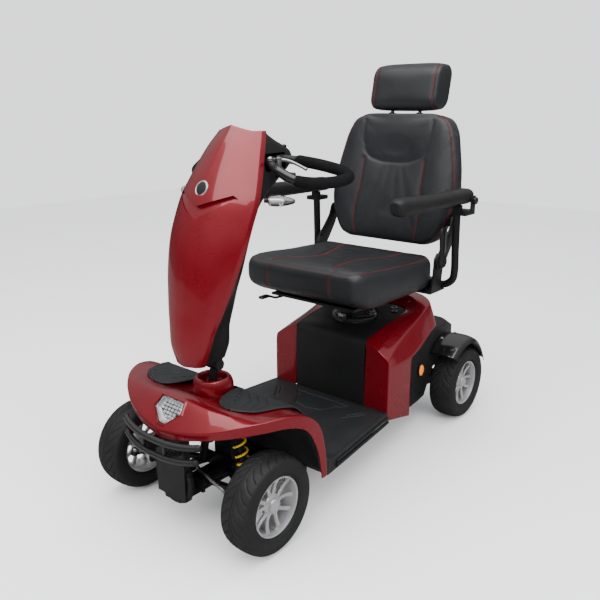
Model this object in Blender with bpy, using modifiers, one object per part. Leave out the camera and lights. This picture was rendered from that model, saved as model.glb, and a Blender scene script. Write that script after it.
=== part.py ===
"""Four-wheel mobility scooter with a captain's seat, as an assembly of separate named solids.

Frame: +X forward, +Y the rider's left, +Z up, metres. The origin is on the ground, midway between the
axles, on the centre plane.
"""
import math

import bmesh
import bpy
from mathutils import Matrix, Vector

# ---------------------------------------------------------------- driving dimensions
GAP = 0.0003                 # clearance between pieces that touch
SHELL = 0.003                # wall of the moulded covers

WHEELBASE = 1.024
FRONT_X = WHEELBASE / 2
REAR_X = -WHEELBASE / 2
AXLE_Z = 0.130               # also the tyre's radius
TYRE_R = 0.130
TYRE_HALF_WIDTH = 0.045
RIM_R = 0.0797
BEAD_R = 0.0806
FRONT_TRACK = 0.2513         # half the track
REAR_TRACK = 0.2549
SPINDLE_R = 0.0082
HUB_BORE_R = 0.0085

CASTER = math.radians(12)    # the steering axis leans back by this
STEER_UP = Vector((-math.sin(CASTER), 0, math.cos(CASTER)))
STEER_FWD = Vector((math.cos(CASTER), 0, math.sin(CASTER)))
TILT = Vector((0.439, 0, 0.420))          # tiller's tilt hinge, on the steering axis
KING_Y = 0.165
KING = Vector((FRONT_X, KING_Y, AXLE_Z))  # left king-pin's centre
SHAFT_R = 0.0115
STEER_ARM = 0.070            # reach of the drop arm and of the steering arms
BALL_Y = 0.028               # their sideways offset
DROP_ARM_Z = 0.158
STEERING_ARM_Z = 0.128

ARM_PIVOT_Y = 0.045          # front suspension arm's hinge line
ARM_PIVOT_Z = 0.125
COIL_FOOT = Vector((0.465, 0.135, 0.1445))
COIL_HEAD = Vector((0.465, 0.095, 0.2960))
SWING_PIVOT = Vector((-0.335, 0, 0.150))  # rear swing arm's hinge
REAR_COIL_X = -0.505
REAR_COIL_Y = 0.100
MOTOR_X = -0.438
MOTOR_Z = 0.142

RAIL_Z = (0.080, 0.110)
DECK_TOP = 0.151
MAT = 0.0045
PAN_GAP = 0.0048             # mat's thickness and its gap to the pan
COVER_Y = 0.1403             # half-width of the battery cover
SEAT_X = -0.225              # seat post's axis
COVER_SLOPE = 0.163
COVER_FRONT_X = -0.0785

HINGE = Vector((-0.350, 0, 0.600))        # backrest's hinge
ARM_POST_Y = 0.285
ARM_HINGE = Vector((-0.410, 0.285, 0.800))
HEADREST_LEAN = Vector((-0.201, 0, 0.980)).normalized()


# ---------------------------------------------------------------- scene and helpers
def clear_scene():
    for old in list(bpy.data.objects):
        bpy.data.objects.remove(old, do_unlink=True)
    for old in list(bpy.data.collections):
        bpy.data.collections.remove(old)


def new_collection(name):
    collection = bpy.data.collections.new(name)
    bpy.context.scene.collection.children.link(collection)
    return collection


clear_scene()
PARTS = new_collection("mobility_scooter")
CONSTRUCTION = new_collection("construction")


def material(name, colour, roughness, metallic=0.0):
    made = bpy.data.materials.new(name)
    made.use_nodes = True
    shader = made.node_tree.nodes["Principled BSDF"]
    shader.inputs["Base Color"].default_value = (*colour, 1)
    shader.inputs["Roughness"].default_value = roughness
    shader.inputs["Metallic"].default_value = metallic
    return made


RED = dict(colour=(0.36, 0.008, 0.014), roughness=0.22, metallic=0.55)
BLACK_GLOSS = dict(colour=(0.012, 0.012, 0.013), roughness=0.28)
BLACK_SATIN = dict(colour=(0.016, 0.016, 0.017), roughness=0.5)
BLACK_STEEL = dict(colour=(0.015, 0.015, 0.016), roughness=0.35, metallic=0.3)
STEEL = dict(colour=(0.55, 0.55, 0.56), roughness=0.3, metallic=1.0)
SILVER = dict(colour=(0.72, 0.72, 0.74), roughness=0.28, metallic=0.9)
RUBBER = dict(colour=(0.022, 0.022, 0.023), roughness=0.8)
MAT_GREY = dict(colour=(0.055, 0.057, 0.058), roughness=0.75)
LEATHER = dict(colour=(0.018, 0.019, 0.020), roughness=0.45)
YELLOW = dict(colour=(0.85, 0.60, 0.01), roughness=0.35)
AMBER = dict(colour=(0.90, 0.28, 0.01), roughness=0.25)
LENS = dict(colour=(0.85, 0.86, 0.88), roughness=0.1)
TAIL_RED = dict(colour=(0.55, 0.01, 0.01), roughness=0.2)


def finish(obj, look):
    """Keep obj as a node of the assembly, with its own material."""
    obj.data.materials.clear()
    obj.data.materials.append(material(obj.name, **look))
    for user in list(obj.users_collection):
        user.objects.unlink(obj)
    PARTS.objects.link(obj)
    return obj


def as_tool(obj):
    """Keep obj only as an operand for a Boolean."""
    for user in list(obj.users_collection):
        user.objects.unlink(obj)
    CONSTRUCTION.objects.link(obj)
    obj.hide_render = True
    obj.display_type = "WIRE"
    return obj


def combine(base, tools, operation):
    for tool in tools:
        modifier = base.modifiers.new(operation.lower(), "BOOLEAN")
        modifier.operation = operation
        modifier.solver = "EXACT"
        modifier.object = as_tool(tool)
    return base


def fuse(base, *tools):
    return combine(base, tools, "UNION")


def carve(base, *tools):
    return combine(base, tools, "DIFFERENCE")


def from_bmesh(name, bm):
    mesh = bpy.data.meshes.new(name)
    bm.to_mesh(mesh)
    bm.free()
    obj = bpy.data.objects.new(name, mesh)
    PARTS.objects.link(obj)
    return obj


def box(name, x, y, z, bevel=0.0):
    """A block between two values of each of x, y and z."""
    bm = bmesh.new()
    bmesh.ops.create_cube(bm, size=1)
    low = Vector((min(x), min(y), min(z)))
    high = Vector((max(x), max(y), max(z)))
    size = high - low
    bmesh.ops.scale(bm, vec=size, verts=bm.verts)
    if bevel:
        bmesh.ops.bevel(bm, geom=list(bm.edges), offset=bevel, segments=1, affect="EDGES", profile=0.5)
    obj = from_bmesh(name, bm)
    obj.location = (low + high) / 2
    return obj


def rod(name, start, end, radius, sides=16):
    """A straight round bar between two points."""
    start, end = Vector(start), Vector(end)
    bm = bmesh.new()
    bmesh.ops.create_cone(
        bm, cap_ends=True, cap_tris=False, segments=sides, radius1=radius, radius2=radius,
        depth=(end - start).length,
    )
    for face in bm.faces:
        face.smooth = len(face.verts) == 4
    obj = from_bmesh(name, bm)
    obj.rotation_mode = "QUATERNION"
    obj.rotation_quaternion = (end - start).to_track_quat("Z", "Y")
    obj.location = (start + end) / 2
    return obj


def bar(name, start, end, width, height, up=Vector((0, 0, 1))):
    """A straight square bar between two points; its height is the side nearest to up."""
    start, end = Vector(start), Vector(end)
    along = (end - start).normalized()
    across = along.cross(up)
    across = across.normalized() if across.length > 0.01 else Vector((0, 1, 0))
    up = across.cross(along)
    bm = bmesh.new()
    bmesh.ops.create_cube(bm, size=1)
    bmesh.ops.scale(bm, vec=((end - start).length, width, height), verts=bm.verts)
    obj = from_bmesh(name, bm)
    obj.matrix_world = Matrix.Translation((start + end) / 2) @ Matrix((along, across, up)).transposed().to_4x4()
    return obj


def ball(name, centre, radius, rings):
    bm = bmesh.new()
    bmesh.ops.create_uvsphere(bm, u_segments=rings * 2, v_segments=rings, radius=radius)
    for face in bm.faces:
        face.smooth = True
    obj = from_bmesh(name, bm)
    obj.location = centre
    return obj


def tube(name, points, radius, closed=False, smooth=True, resolution=2):
    """A round tube along points, as a mesh with welded caps."""
    curve = bpy.data.curves.new(name, "CURVE")
    curve.dimensions = "3D"
    curve.bevel_depth = radius
    curve.bevel_resolution = resolution
    curve.use_fill_caps = True
    spline = curve.splines.new("POLY")
    route = smoothed(points, closed) if smooth else [Vector(p) for p in points]
    spline.points.add(len(route) - 1)
    for point, place in zip(spline.points, route):
        point.co = (*place, 1)
    spline.use_cyclic_u = closed
    guide = bpy.data.objects.new("route", curve)
    PARTS.objects.link(guide)
    bpy.context.view_layer.update()
    graph = bpy.context.evaluated_depsgraph_get()
    mesh = bpy.data.meshes.new_from_object(guide.evaluated_get(graph))
    bm = bmesh.new()
    bm.from_mesh(mesh)
    bmesh.ops.remove_doubles(bm, verts=bm.verts, dist=0.00002)
    bmesh.ops.recalc_face_normals(bm, faces=bm.faces)
    bm.to_mesh(mesh)
    bm.free()
    obj = bpy.data.objects.new(name, mesh)
    obj.matrix_world = guide.matrix_world
    bpy.data.objects.remove(guide, do_unlink=True)
    PARTS.objects.link(obj)
    return obj


def smoothed(points, closed=False, steps=3):
    """Catmull-Rom curve through the points."""
    pts = [Vector(p) for p in points]
    count = len(pts)
    out = []
    for i in range(count if closed else count - 1):
        if closed:
            a, b, c, d = (pts[(i + k) % count] for k in (-1, 0, 1, 2))
        else:
            b, c = pts[i], pts[i + 1]
            a = pts[i - 1] if i else b * 2 - c
            d = pts[i + 2] if i + 2 < count else c * 2 - b
        for k in range(steps):
            t = k / steps
            out.append(0.5 * (b * 2 + (c - a) * t + (a * 2 - b * 5 + c * 4 - d) * t ** 2
                              + (b * 3 - a - c * 3 + d) * t ** 3))
    if not closed:
        out.append(pts[-1])
    return out


def turned(name, profile, centre, steps=24, axis="Z", closed=False):
    """A profile of (radius, height) points, turned about the axis through centre.

    The points run down the outer side, top to bottom. A closed profile makes a ring.
    """
    mesh = bpy.data.meshes.new(name)
    count = len(profile)
    edges = [(i, i + 1) for i in range(count - 1)] + ([(count - 1, 0)] if closed else [])
    mesh.from_pydata([(r, 0, h) for r, h in profile], edges, [])
    obj = bpy.data.objects.new(name, mesh)
    PARTS.objects.link(obj)
    screw = obj.modifiers.new("turn", "SCREW")
    screw.steps = steps
    screw.render_steps = steps
    screw.use_merge_vertices = True
    screw.merge_threshold = 0.0001
    screw.use_smooth_shade = True
    obj.location = centre
    if axis == "Y":
        obj.rotation_euler = (-math.pi / 2, 0, 0)
    elif axis == "-Y":
        obj.rotation_euler = (math.pi / 2, 0, 0)
    elif axis == "X":
        obj.rotation_euler = (0, math.pi / 2, 0)
    elif isinstance(axis, Vector):
        obj.rotation_mode = "QUATERNION"
        obj.rotation_quaternion = axis.to_track_quat("Z", "Y")
    return obj


def plate(name, outline, thickness, y):
    """A flat outline of (x, z) points, standing in a plane of constant y, from y to y + thickness."""
    bm = bmesh.new()
    verts = [bm.verts.new((px, 0, pz)) for px, pz in outline]
    face = bm.faces.new(verts)
    made = bmesh.ops.extrude_face_region(bm, geom=[face])
    moved = [item for item in made["geom"] if isinstance(item, bmesh.types.BMVert)]
    bmesh.ops.translate(bm, vec=(0, thickness, 0), verts=moved)
    bmesh.ops.recalc_face_normals(bm, faces=bm.faces)
    obj = from_bmesh(name, bm)
    obj.location.y = y
    return obj


def grid_faces(bm, grid):
    """Join neighbouring rows of vertices with quads."""
    for first, second in zip(grid, grid[1:]):
        for j in range(min(len(first), len(second)) - 1):
            bm.faces.new((first[j], first[j + 1], second[j + 1], second[j]))


def add_mirror(obj):
    """Complete a left half with its mirror image."""
    flip = obj.modifiers.new("mirror", "MIRROR")
    flip.use_axis = (False, True, False)
    flip.use_clip = True
    flip.merge_threshold = 0.0001


def add_wall(obj, thickness):
    """Give an open surface a wall on its inner side."""
    wall = obj.modifiers.new("wall", "SOLIDIFY")
    wall.thickness = thickness
    wall.offset = -1
    wall.use_even_offset = True


def skin(name, rows, wall=SHELL, mirror=False):
    """A moulded shell: a grid of points, the rows one after another, given a wall thickness."""
    bm = bmesh.new()
    grid_faces(bm, [[bm.verts.new(p) for p in row] for row in rows])
    bmesh.ops.recalc_face_normals(bm, faces=bm.faces)
    obj = from_bmesh(name, bm)
    if mirror:
        add_mirror(obj)
    add_wall(obj, wall)
    return obj


def loft(name, sections):
    """A closed solid through rings of equal count, with flat ends."""
    bm = bmesh.new()
    rings = [[bm.verts.new(p) for p in ring] for ring in sections]
    for first, second in zip(rings, rings[1:]):
        for j in range(len(first)):
            k = (j + 1) % len(first)
            bm.faces.new((first[j], first[k], second[k], second[j]))
    bm.faces.new(rings[0][::-1])
    bm.faces.new(rings[-1])
    bmesh.ops.recalc_face_normals(bm, faces=bm.faces)
    for face in bm.faces:
        face.smooth = len(face.verts) == 4
    return from_bmesh(name, bm)


def sided(value, side):
    """Mirror a left-hand point to the side, +1 left or -1 right."""
    v = Vector(value)
    return Vector((v.x, v.y * side, v.z))


SIDES = (("left", 1), ("right", -1))


def rounded_ring(centre, across, up, half_width, half_height, corner, segments=3):
    """A rectangle with round corners, as a ring of points in the plane of across and up."""
    centre, across, up = Vector(centre), Vector(across), Vector(up)
    points = []
    for quarter, (sx, sy) in enumerate(((1, 1), (-1, 1), (-1, -1), (1, -1))):
        for k in range(segments):
            angle = math.pi / 2 * (quarter + k / (segments - 1))
            px = sx * (half_width - corner) + corner * math.cos(angle)
            py = sy * (half_height - corner) + corner * math.sin(angle)
            points.append(centre + across * px + up * py)
    return points


# ---------------------------------------------------------------- frame and bumper
def steering_axis_at(z):
    """The point of the steering axis at height z."""
    return TILT + STEER_UP * ((z - TILT.z) / STEER_UP.z)


def main_frame():
    rail = (0.085, 0.115)
    z0, z1 = RAIL_Z
    frame = box("main_frame", (-0.33, 0.33), rail, RAIL_Z)
    pieces = [box("rail_right", (-0.33, 0.33), (-rail[0], -rail[1]), RAIL_Z)]
    for x in (-0.30, -0.105, 0.29):
        pieces.append(box("cross", (x - 0.015, x + 0.015), (-0.19, 0.19), (z0 + 0.001, z1 - 0.001)))
    pieces.append(box("spine", (0.28, 0.608), (-0.03, 0.03), (z0 + 0.003, z1)))
    pieces.append(box("nose_plate", (0.588, 0.610), (-0.055, 0.055), (0.095, 0.275)))
    pieces.append(box("post", (0.396, 0.420), (-0.033, 0.033), (0.10, 0.3255)))
    pieces.append(box("post_top", (0.397, 0.470), (-0.032, 0.032), (0.290, 0.325)))
    pieces.append(box("shock_tower", (0.450, 0.480), (-0.116, 0.116), (COIL_HEAD.z + 0.0093, 0.324)))
    for x in (0.429, 0.549):
        pieces.append(box("arm_lug", (x - 0.004, x + 0.004), (-0.060, 0.060), (0.100, 0.139)))
    for _, side in SIDES:
        start = (0.427, side * ARM_PIVOT_Y, ARM_PIVOT_Z)
        pieces.append(rod("arm_pin", start, (0.551, side * ARM_PIVOT_Y, ARM_PIVOT_Z), 0.007, 12))
        pieces.append(box("rear_upright", (-0.320, -0.290), (side * 0.084, side * 0.114), (0.09, 0.349)))
        pieces.append(box("mid_upright", (-0.118, -0.092), (side * 0.086, side * 0.112), (0.09, 0.348)))
        pieces.append(box("top_rail", (-0.33, -0.092), (side * 0.087, side * 0.111), (0.326, 0.347)))
        pieces.append(box("swing_lug", (-0.351, -0.30), (side * 0.088, side * 0.113), (0.132, 0.168)))
    ends = SWING_PIVOT + Vector((0, 0.149, 0))
    pieces.append(rod("swing_pin", sided(ends, -1), ends, 0.010, 16))
    pieces.append(box("seat_base", (-0.262, -0.188), (-0.113, 0.113), (0.324, 0.350)))
    pieces.append(box("rear_beam", (-0.515, -0.21), (-0.028, 0.028), (0.302, 0.330)))
    pieces.append(box("coil_beam", (-0.520, -0.487), (-0.120, 0.120), (0.2997 + GAP, 0.3215)))
    pieces.append(rod("seat_tube", (SEAT_X, 0, 0.335), (SEAT_X, 0, 0.4600), 0.028, 24))
    head = rod("head_tube", steering_axis_at(0.208), steering_axis_at(0.329), 0.023, 24)
    pieces.append(head)
    loop = [(0.597, y, z) for y, z in ((-0.060, 0.17), (-0.062, 0.135), (-0.045, 0.098), (0, 0.082),
                                       (0.045, 0.098), (0.062, 0.135), (0.060, 0.17))]
    pieces.append(tube("nose_loop", loop, 0.0095, resolution=1))
    pieces.append(box("loop_tie", (0.590, 0.604), (-0.064, 0.064), (0.160, 0.182)))
    fuse(frame, *pieces)
    carve(frame, rod("head_bore", steering_axis_at(0.18), steering_axis_at(0.36), SHAFT_R + 0.0004, 24))
    return finish(frame, BLACK_STEEL)


def bumper_route(end, middle):
    """A bumper tube bowed forward between two ends."""
    (ex, ey, ez), (mx, mz) = end, middle
    points = []
    for k in range(-4, 5):
        t = k / 4
        bow = 1 - abs(t) ** 2.4
        points.append((ex + (mx - ex) * bow, ey * t, ez + (mz - ez) * bow))
    return points


def front_bumper():
    upper = tube("front_bumper", bumper_route((0.633, 0.145, 0.294), (0.6625, 0.284)), 0.009,
                 smooth=False)
    pieces = [tube("lower", bumper_route((0.637, 0.138, 0.254), (0.6630, 0.243)), 0.0085, smooth=False)]
    for _, side in SIDES:
        pieces.append(box("stay", (0.610 + GAP, 0.655), (side * 0.036, side * 0.046), (0.228, 0.266)))
        pieces.append(box("link", (0.652, 0.664), (side * 0.0365, side * 0.0455), (0.240, 0.288)))
    fuse(upper, *pieces)
    return finish(upper, BLACK_GLOSS)


# ---------------------------------------------------------------- front covers and floor
# Along the cowl's outer edge, from the nose round the wheel arch to the foot of its rear leg:
# edge crease, and the bottom of the lip below it.
COWL_EDGE = [
    ((0.640, 0.000, 0.300), (0.636, 0.000, 0.278)),
    ((0.633, 0.075, 0.312), (0.630, 0.075, 0.290)),
    ((0.610, 0.152, 0.326), (0.606, 0.151, 0.305)),
    ((0.575, 0.213, 0.345), (0.570, 0.211, 0.317)),
    ((0.530, 0.260, 0.357), (0.525, 0.258, 0.327)),
    ((0.479, 0.288, 0.361), (0.473, 0.287, 0.329)),
    ((0.425, 0.300, 0.350), (0.428, 0.299, 0.315)),
    ((0.387, 0.303, 0.328), (0.402, 0.301, 0.293)),
    ((0.359, 0.303, 0.295), (0.381, 0.301, 0.260)),
    ((0.341, 0.303, 0.245), (0.364, 0.301, 0.220)),
    ((0.331, 0.303, 0.190), (0.353, 0.301, 0.175)),
    ((0.327, 0.303, 0.142), (0.347, 0.301, 0.140)),
]
# the same stations' inner edge where the floor mat meets the cowl, from the wheel arch back
COWL_LEG = [(0.352, 0.272, 0.302), (0.333, 0.285, 0.247), (0.323, 0.287, 0.192), (0.319, 0.289, 0.143)]
COLLAR = Vector((0.447, 0, 0.3453))
COLLAR_R = 0.056
# for the stations round the collar: the ray's angle, the fraction along it and height of two points
COWL_RAYS = [
    (0, 0.35, 0.371, 0.61, 0.3685), (17, 0.36, 0.369, 0.62, 0.3680), (38, 0.40, 0.361, 0.70, 0.3640),
    (56, 0.42, 0.354, 0.78, 0.3610), (71, 0.42, 0.352, 0.80, 0.3585), (85, 0.42, 0.351, 0.80, 0.3585),
    (101, 0.42, 0.350, 0.78, 0.3525), (117, 0.42, 0.345, 0.78, 0.3380),
]


def cowl_rows():
    """Rings from the collar out to the lip, one row for each station of the edge."""
    rows = []
    for (crease, lip), (angle, t1, z1, t2, z2) in zip(COWL_EDGE, COWL_RAYS):
        crease, lip = Vector(crease), Vector(lip)
        a = math.radians(angle)
        hub = COLLAR + Vector((math.cos(a), math.sin(a), 0)) * (COLLAR_R - 0.004) - Vector((0, 0, 2 * GAP))
        hub.y = hub.y if angle else 0.0
        inner, brow = hub.lerp(crease, t1), hub.lerp(crease, t2)
        inner.z, brow.z = z1, z2
        rows.append([hub, inner, brow, crease, lip])
    return rows


def front_cowl():
    rows = cowl_rows()
    leg = [[Vector(inner), Vector(crease), Vector(lip)]
           for inner, (crease, lip) in zip(COWL_LEG, COWL_EDGE[8:])]
    bm = bmesh.new()
    grid = [[bm.verts.new(p) for p in row] for row in rows + leg]
    grid_faces(bm, grid[:len(rows)])
    grid_faces(bm, [grid[len(rows) - 1][2:]] + grid[len(rows):])
    bmesh.ops.recalc_face_normals(bm, faces=bm.faces)
    cowl = from_bmesh("front_cowl", bm)
    point_outwards(cowl, Vector((0, 0, 1)))
    add_mirror(cowl)
    add_wall(cowl, SHELL)
    recess = loft("lens_recess", [lamp_outline(0.0006, 0.020), lamp_outline(0.0006, -0.030)])
    return finish(carve(cowl, recess), RED)


LAMP_TOP = (0.586, 0.040, 0.366)
LAMP_SIDE = (0.607, 0.048, 0.343)
LAMP_TIP = (0.628, 0.012, 0.316)


def lamp_outline(margin, lift):
    """The headlight's six-sided outline, grown by margin and moved along its facing by lift."""
    facing = Vector((0.70, 0, 0.60)).normalized()
    ring = []
    for side in (1, -1):
        corners = [LAMP_TOP, LAMP_SIDE, LAMP_TIP]
        for corner in corners if side == 1 else corners[::-1]:
            point = sided(corner, side)
            middle = Vector((0.606, 0, 0.342))
            out = (point - middle).normalized()
            ring.append(point + out * margin + facing * lift)
    return ring


def headlight_lens():
    lens = loft("headlight_lens", [lamp_outline(0, 0.0015), lamp_outline(0, -0.012)])
    return finish(lens, LENS)


def steering_collar():
    profile = [(0.043, 0.043), (0.051, 0.038), (0.056, 0.026), (COLLAR_R, 0.006), (0.052, 0),
               (0.037, 0), (0.036, 0.030), (0.037, 0.042)]
    return finish(turned("steering_collar", profile, COLLAR, 24, closed=True), RED)


# the floor's height from the seat box forward and up the ramp: x, height, half-width
FLOOR_LINE = [
    (-0.0745, DECK_TOP, 0.2375), (0.09, DECK_TOP, 0.256), (0.245, DECK_TOP, 0.273),
    (0.283, 0.160, 0.277), (0.310, 0.190, 0.277), (0.330, 0.243, 0.276), (0.350, 0.294, 0.262),
    (0.368, 0.322, 0.258), (0.383, 0.338, 0.256),
]
# the mat's two lobes either side of the column: x, height, outer and inner y
MAT_LOBES = [
    (0.400, 0.3530, 0.248, 0.048), (0.440, 0.3630, 0.236, 0.064), (0.470, 0.3655, 0.226, 0.073),
    (0.500, 0.3665, 0.212, 0.085), (0.518, 0.3660, 0.186, 0.098), (0.530, 0.3645, 0.150, 0.122),
]


def floor_mat():
    ease = (1.0, 0.8, 0.5, 0.2, 0.0)
    rows = []
    for x, z, wide in FLOOR_LINE:
        rows.append([Vector((x, wide * t, z)) for t in ease])
    for x, z, wide, narrow in MAT_LOBES:
        rows.append([Vector((x, narrow + (wide - narrow) * t, z)) for t in ease])
    mat = skin("floor_mat", rows, wall=MAT, mirror=True)
    point_outwards(mat, Vector((0, 0, 1)))
    return finish(mat, MAT_GREY)


def below(line, distance):
    """A line of (x, z) points, moved down square to itself; the corners are mitred."""
    moved = []
    for k, (x, z) in enumerate(line):
        before = Vector(line[max(k - 1, 0)])
        after = Vector(line[min(k + 1, len(line) - 1)])
        here = Vector((x, z))
        turns = [step.normalized() for step in (here - before, after - here) if step.length > 0]
        normals = [Vector((step.y, -step.x)) for step in turns]
        middle = sum(normals, Vector((0, 0))).normalized()
        moved.append(here + middle * (distance / middle.dot(normals[0])))
    return moved


def floor_pan():
    low = RAIL_Z[1] + GAP
    under = [low, low, low, low, low + 0.030, 0.200, 0.250, 0.285, 0.308]
    tops = below([(x, z) for x, z, _ in FLOOR_LINE], PAN_GAP)
    sections = []
    for top, bottom, (_, _, wide) in zip(tops, under, FLOOR_LINE):
        side = wide - (0.0 if top.x < 0.30 else 0.004)
        sections.append([(top.x, side, top.y), (top.x, -side, top.y), (top.x, -side + 0.004, bottom),
                         (top.x, side - 0.004, bottom)])
    return finish(loft("floor_pan", sections), BLACK_SATIN)


# ---------------------------------------------------------------- seat box and rear
def cover_top(x):
    """Height of the seat box's sloping top."""
    return 0.378 + COVER_SLOPE * (-0.092 - x)


def battery_cover():
    face = [(COVER_FRONT_X, 0.1515, COVER_Y), (COVER_FRONT_X, 0.345, COVER_Y),
            (COVER_FRONT_X - 0.004, 0.363, COVER_Y), (-0.094, cover_top(-0.094), COVER_Y)]
    top = [(x, cover_top(x), COVER_Y) for x in (-0.16, -0.225, -0.296)]
    tail = [(-0.324, cover_top(-0.324), 0.1365), (-0.343, cover_top(-0.343), 0.1130),
            (-0.351, cover_top(-0.351), 0.0750)]
    rows = [[Vector((x, y, z)), Vector((x, y / 2, z)), Vector((x, 0, z))] for x, z, y in face + top + tail]
    cover = skin("battery_cover", rows, mirror=True)
    point_outwards(cover, Vector((0, 0, 1)))
    carve(cover, rod("ring_hole", (SEAT_X, 0, 0.30), (SEAT_X, 0, 0.46), 0.0815, 24))
    return finish(cover, BLACK_SATIN)


def point_outwards(obj, direction):
    """Turn an open shell's faces so that most face along direction."""
    total = sum((polygon.normal * polygon.area).dot(direction) for polygon in obj.data.polygons)
    if total < 0:
        obj.data.flip_normals()


def seat_post_boot():
    """The moulded boot and ring where the seat post leaves the seat box."""
    profile = [(0.034, 0.432), (0.040, 0.424), (0.043, 0.404), (0.054, 0.397), (0.062, 0.409),
               (0.073, 0.411), (0.080, 0.404), (0.081, 0.388), (0.070, 0.3845), (0.040, 0.392),
               (0.0285, 0.396), (0.0285, 0.432)]
    boot = turned("seat_post_boot", profile, (SEAT_X, 0, 0), 24, closed=True)
    return finish(boot, BLACK_GLOSS)


# Side cowl of the seat box, left half. Each station: lower edge, ridge, shoulder, inner top edge.
SIDE_COWL = [
    ((-0.0780, 0.233, 0.300), (-0.0800, 0.231, 0.322), (-0.081, 0.190, 0.350), (-0.084, 0.1425, 0.3735)),
    ((-0.150, 0.234, 0.298), (-0.145, 0.216, 0.350), (-0.148, 0.182, 0.371), (-0.150, 0.1425, 0.3885)),
    ((-0.219, 0.233, 0.299), (-0.215, 0.206, 0.374), (-0.217, 0.176, 0.389), (-0.219, 0.1425, 0.3995)),
    ((-0.290, 0.227, 0.316), (-0.285, 0.202, 0.398), (-0.288, 0.172, 0.408), (-0.292, 0.1425, 0.4110)),
    ((-0.365, 0.217, 0.340), (-0.350, 0.198, 0.419), (-0.343, 0.168, 0.425), (-0.3260, 0.1385, 0.4165)),
    ((-0.425, 0.206, 0.360), (-0.405, 0.188, 0.440), (-0.378, 0.142, 0.447), (-0.3465, 0.1150, 0.4200)),
    ((-0.448, 0.165, 0.366), (-0.428, 0.150, 0.452), (-0.389, 0.095, 0.457), (-0.3550, 0.0765, 0.4215)),
    ((-0.455, 0.080, 0.368), (-0.437, 0.075, 0.458), (-0.392, 0.045, 0.462), (-0.3560, 0.0365, 0.4220)),
    ((-0.457, 0.0004, 0.368), (-0.440, 0.0004, 0.460), (-0.393, 0.0004, 0.463), (-0.3560, 0.0004, 0.4222)),
]
COWL_FOOT = [(-0.078, 0.233, 0.125), (-0.150, 0.2335, 0.108), (-0.219, 0.233, 0.0915)]
COWL_FRONT_IN = (-0.0780, 0.1425, 0.1525)


def side_cowl(word, side):
    bm = bmesh.new()
    grid = [[bm.verts.new(sided(p, side)) for p in row] for row in SIDE_COWL]
    foot = [bm.verts.new(sided(p, side)) for p in COWL_FOOT]
    inner = bm.verts.new(sided(COWL_FRONT_IN, side))
    grid_faces(bm, grid)
    for j in range(2):
        bm.faces.new((foot[j], grid[j][0], grid[j + 1][0], foot[j + 1]))
    bm.faces.new((inner, foot[0], grid[0][0], grid[0][1], grid[0][2], grid[0][3]))
    bmesh.ops.recalc_face_normals(bm, faces=bm.faces)
    cowl = from_bmesh(f"side_cowl_{word}", bm)
    point_outwards(cowl, Vector((0, side, 0.3)))
    add_wall(cowl, SHELL)
    return finish(cowl, RED)


# Rear body, left half: x, side's y, bottom of the side, top of the side, height of the roof
BODY_LINE = [
    (-0.2230, 0.205, 0.094, 0.285), (-0.300, 0.203, 0.095, 0.306), (-0.3260, 0.202, 0.096, 0.318),
    (-0.376, 0.200, 0.102, 0.332), (-0.440, 0.196, 0.192, 0.338), (-0.540, 0.190, 0.192, 0.330),
    (-0.615, 0.172, 0.180, 0.300), (-0.640, 0.140, 0.184, 0.285),
]
BODY_ROOF = [0.356, 0.356, 0.358, 0.346, 0.318, 0.300]


def rear_body():
    bm = bmesh.new()
    sides = []
    for x, y, z0, z1 in BODY_LINE:
        sides.append([bm.verts.new((x, y, z0)), bm.verts.new((x, y, z1))])
    roof = []
    for (x, y, z0, z1), top in zip(BODY_LINE[2:], BODY_ROOF):
        roof.append([bm.verts.new((x, y - 0.035, top)), bm.verts.new((x, 0, top))])
    for first, second in zip(sides, sides[1:]):
        bm.faces.new((first[0], first[1], second[1], second[0]))
    for k, (first, second) in enumerate(zip(roof, roof[1:])):
        bm.faces.new((sides[k + 2][1], first[0], second[0], sides[k + 3][1]))
        bm.faces.new((first[0], first[1], second[1], second[0]))
    low = bm.verts.new((-0.640, 0, 0.184))
    bm.faces.new((sides[-1][0], sides[-1][1], roof[-1][0], roof[-1][1], low))
    bmesh.ops.recalc_face_normals(bm, faces=bm.faces)
    body = from_bmesh("rear_body", bm)
    point_outwards(body, Vector((0, 1, 1)))
    add_mirror(body)
    add_wall(body, SHELL)
    route = [(-0.625, 0.150, 0.205), (-0.652, 0.138, 0.205), (-0.662, 0.105, 0.205), (-0.6625, 0, 0.205)]
    route += [sided(p, -1) for p in route[-2::-1]]
    fuse(body, tube("rear_bumper", route, 0.009, smooth=False, resolution=1))
    return finish(body, BLACK_SATIN)


def tail_light():
    lamp = box("tail_light", (-0.6403, -0.6480), (-0.110, 0.110), (0.240, 0.268), bevel=0.003)
    return finish(lamp, TAIL_RED)


def side_reflector(word, side):
    centre = Vector((-0.332, 0.2065 * side, 0.213))
    lens = turned(f"side_reflector_{word}", [(0, 0.007), (0.014, 0.0055), (0.019, 0), (0, 0)], centre,
                  16, "Y" if side == 1 else "-Y")
    lens.scale = (0.85, 1.15, 1)
    return finish(lens, AMBER)


def body_side(x):
    """The rear body's half-width at x."""
    line = [(-px, y) for px, y, _, _ in BODY_LINE]
    for (x0, y0), (x1, y1) in zip(line, line[1:]):
        if x0 <= -x <= x1:
            return y0 + (y1 - y0) * (-x - x0) / (x1 - x0)
    return line[-1][1]


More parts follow.
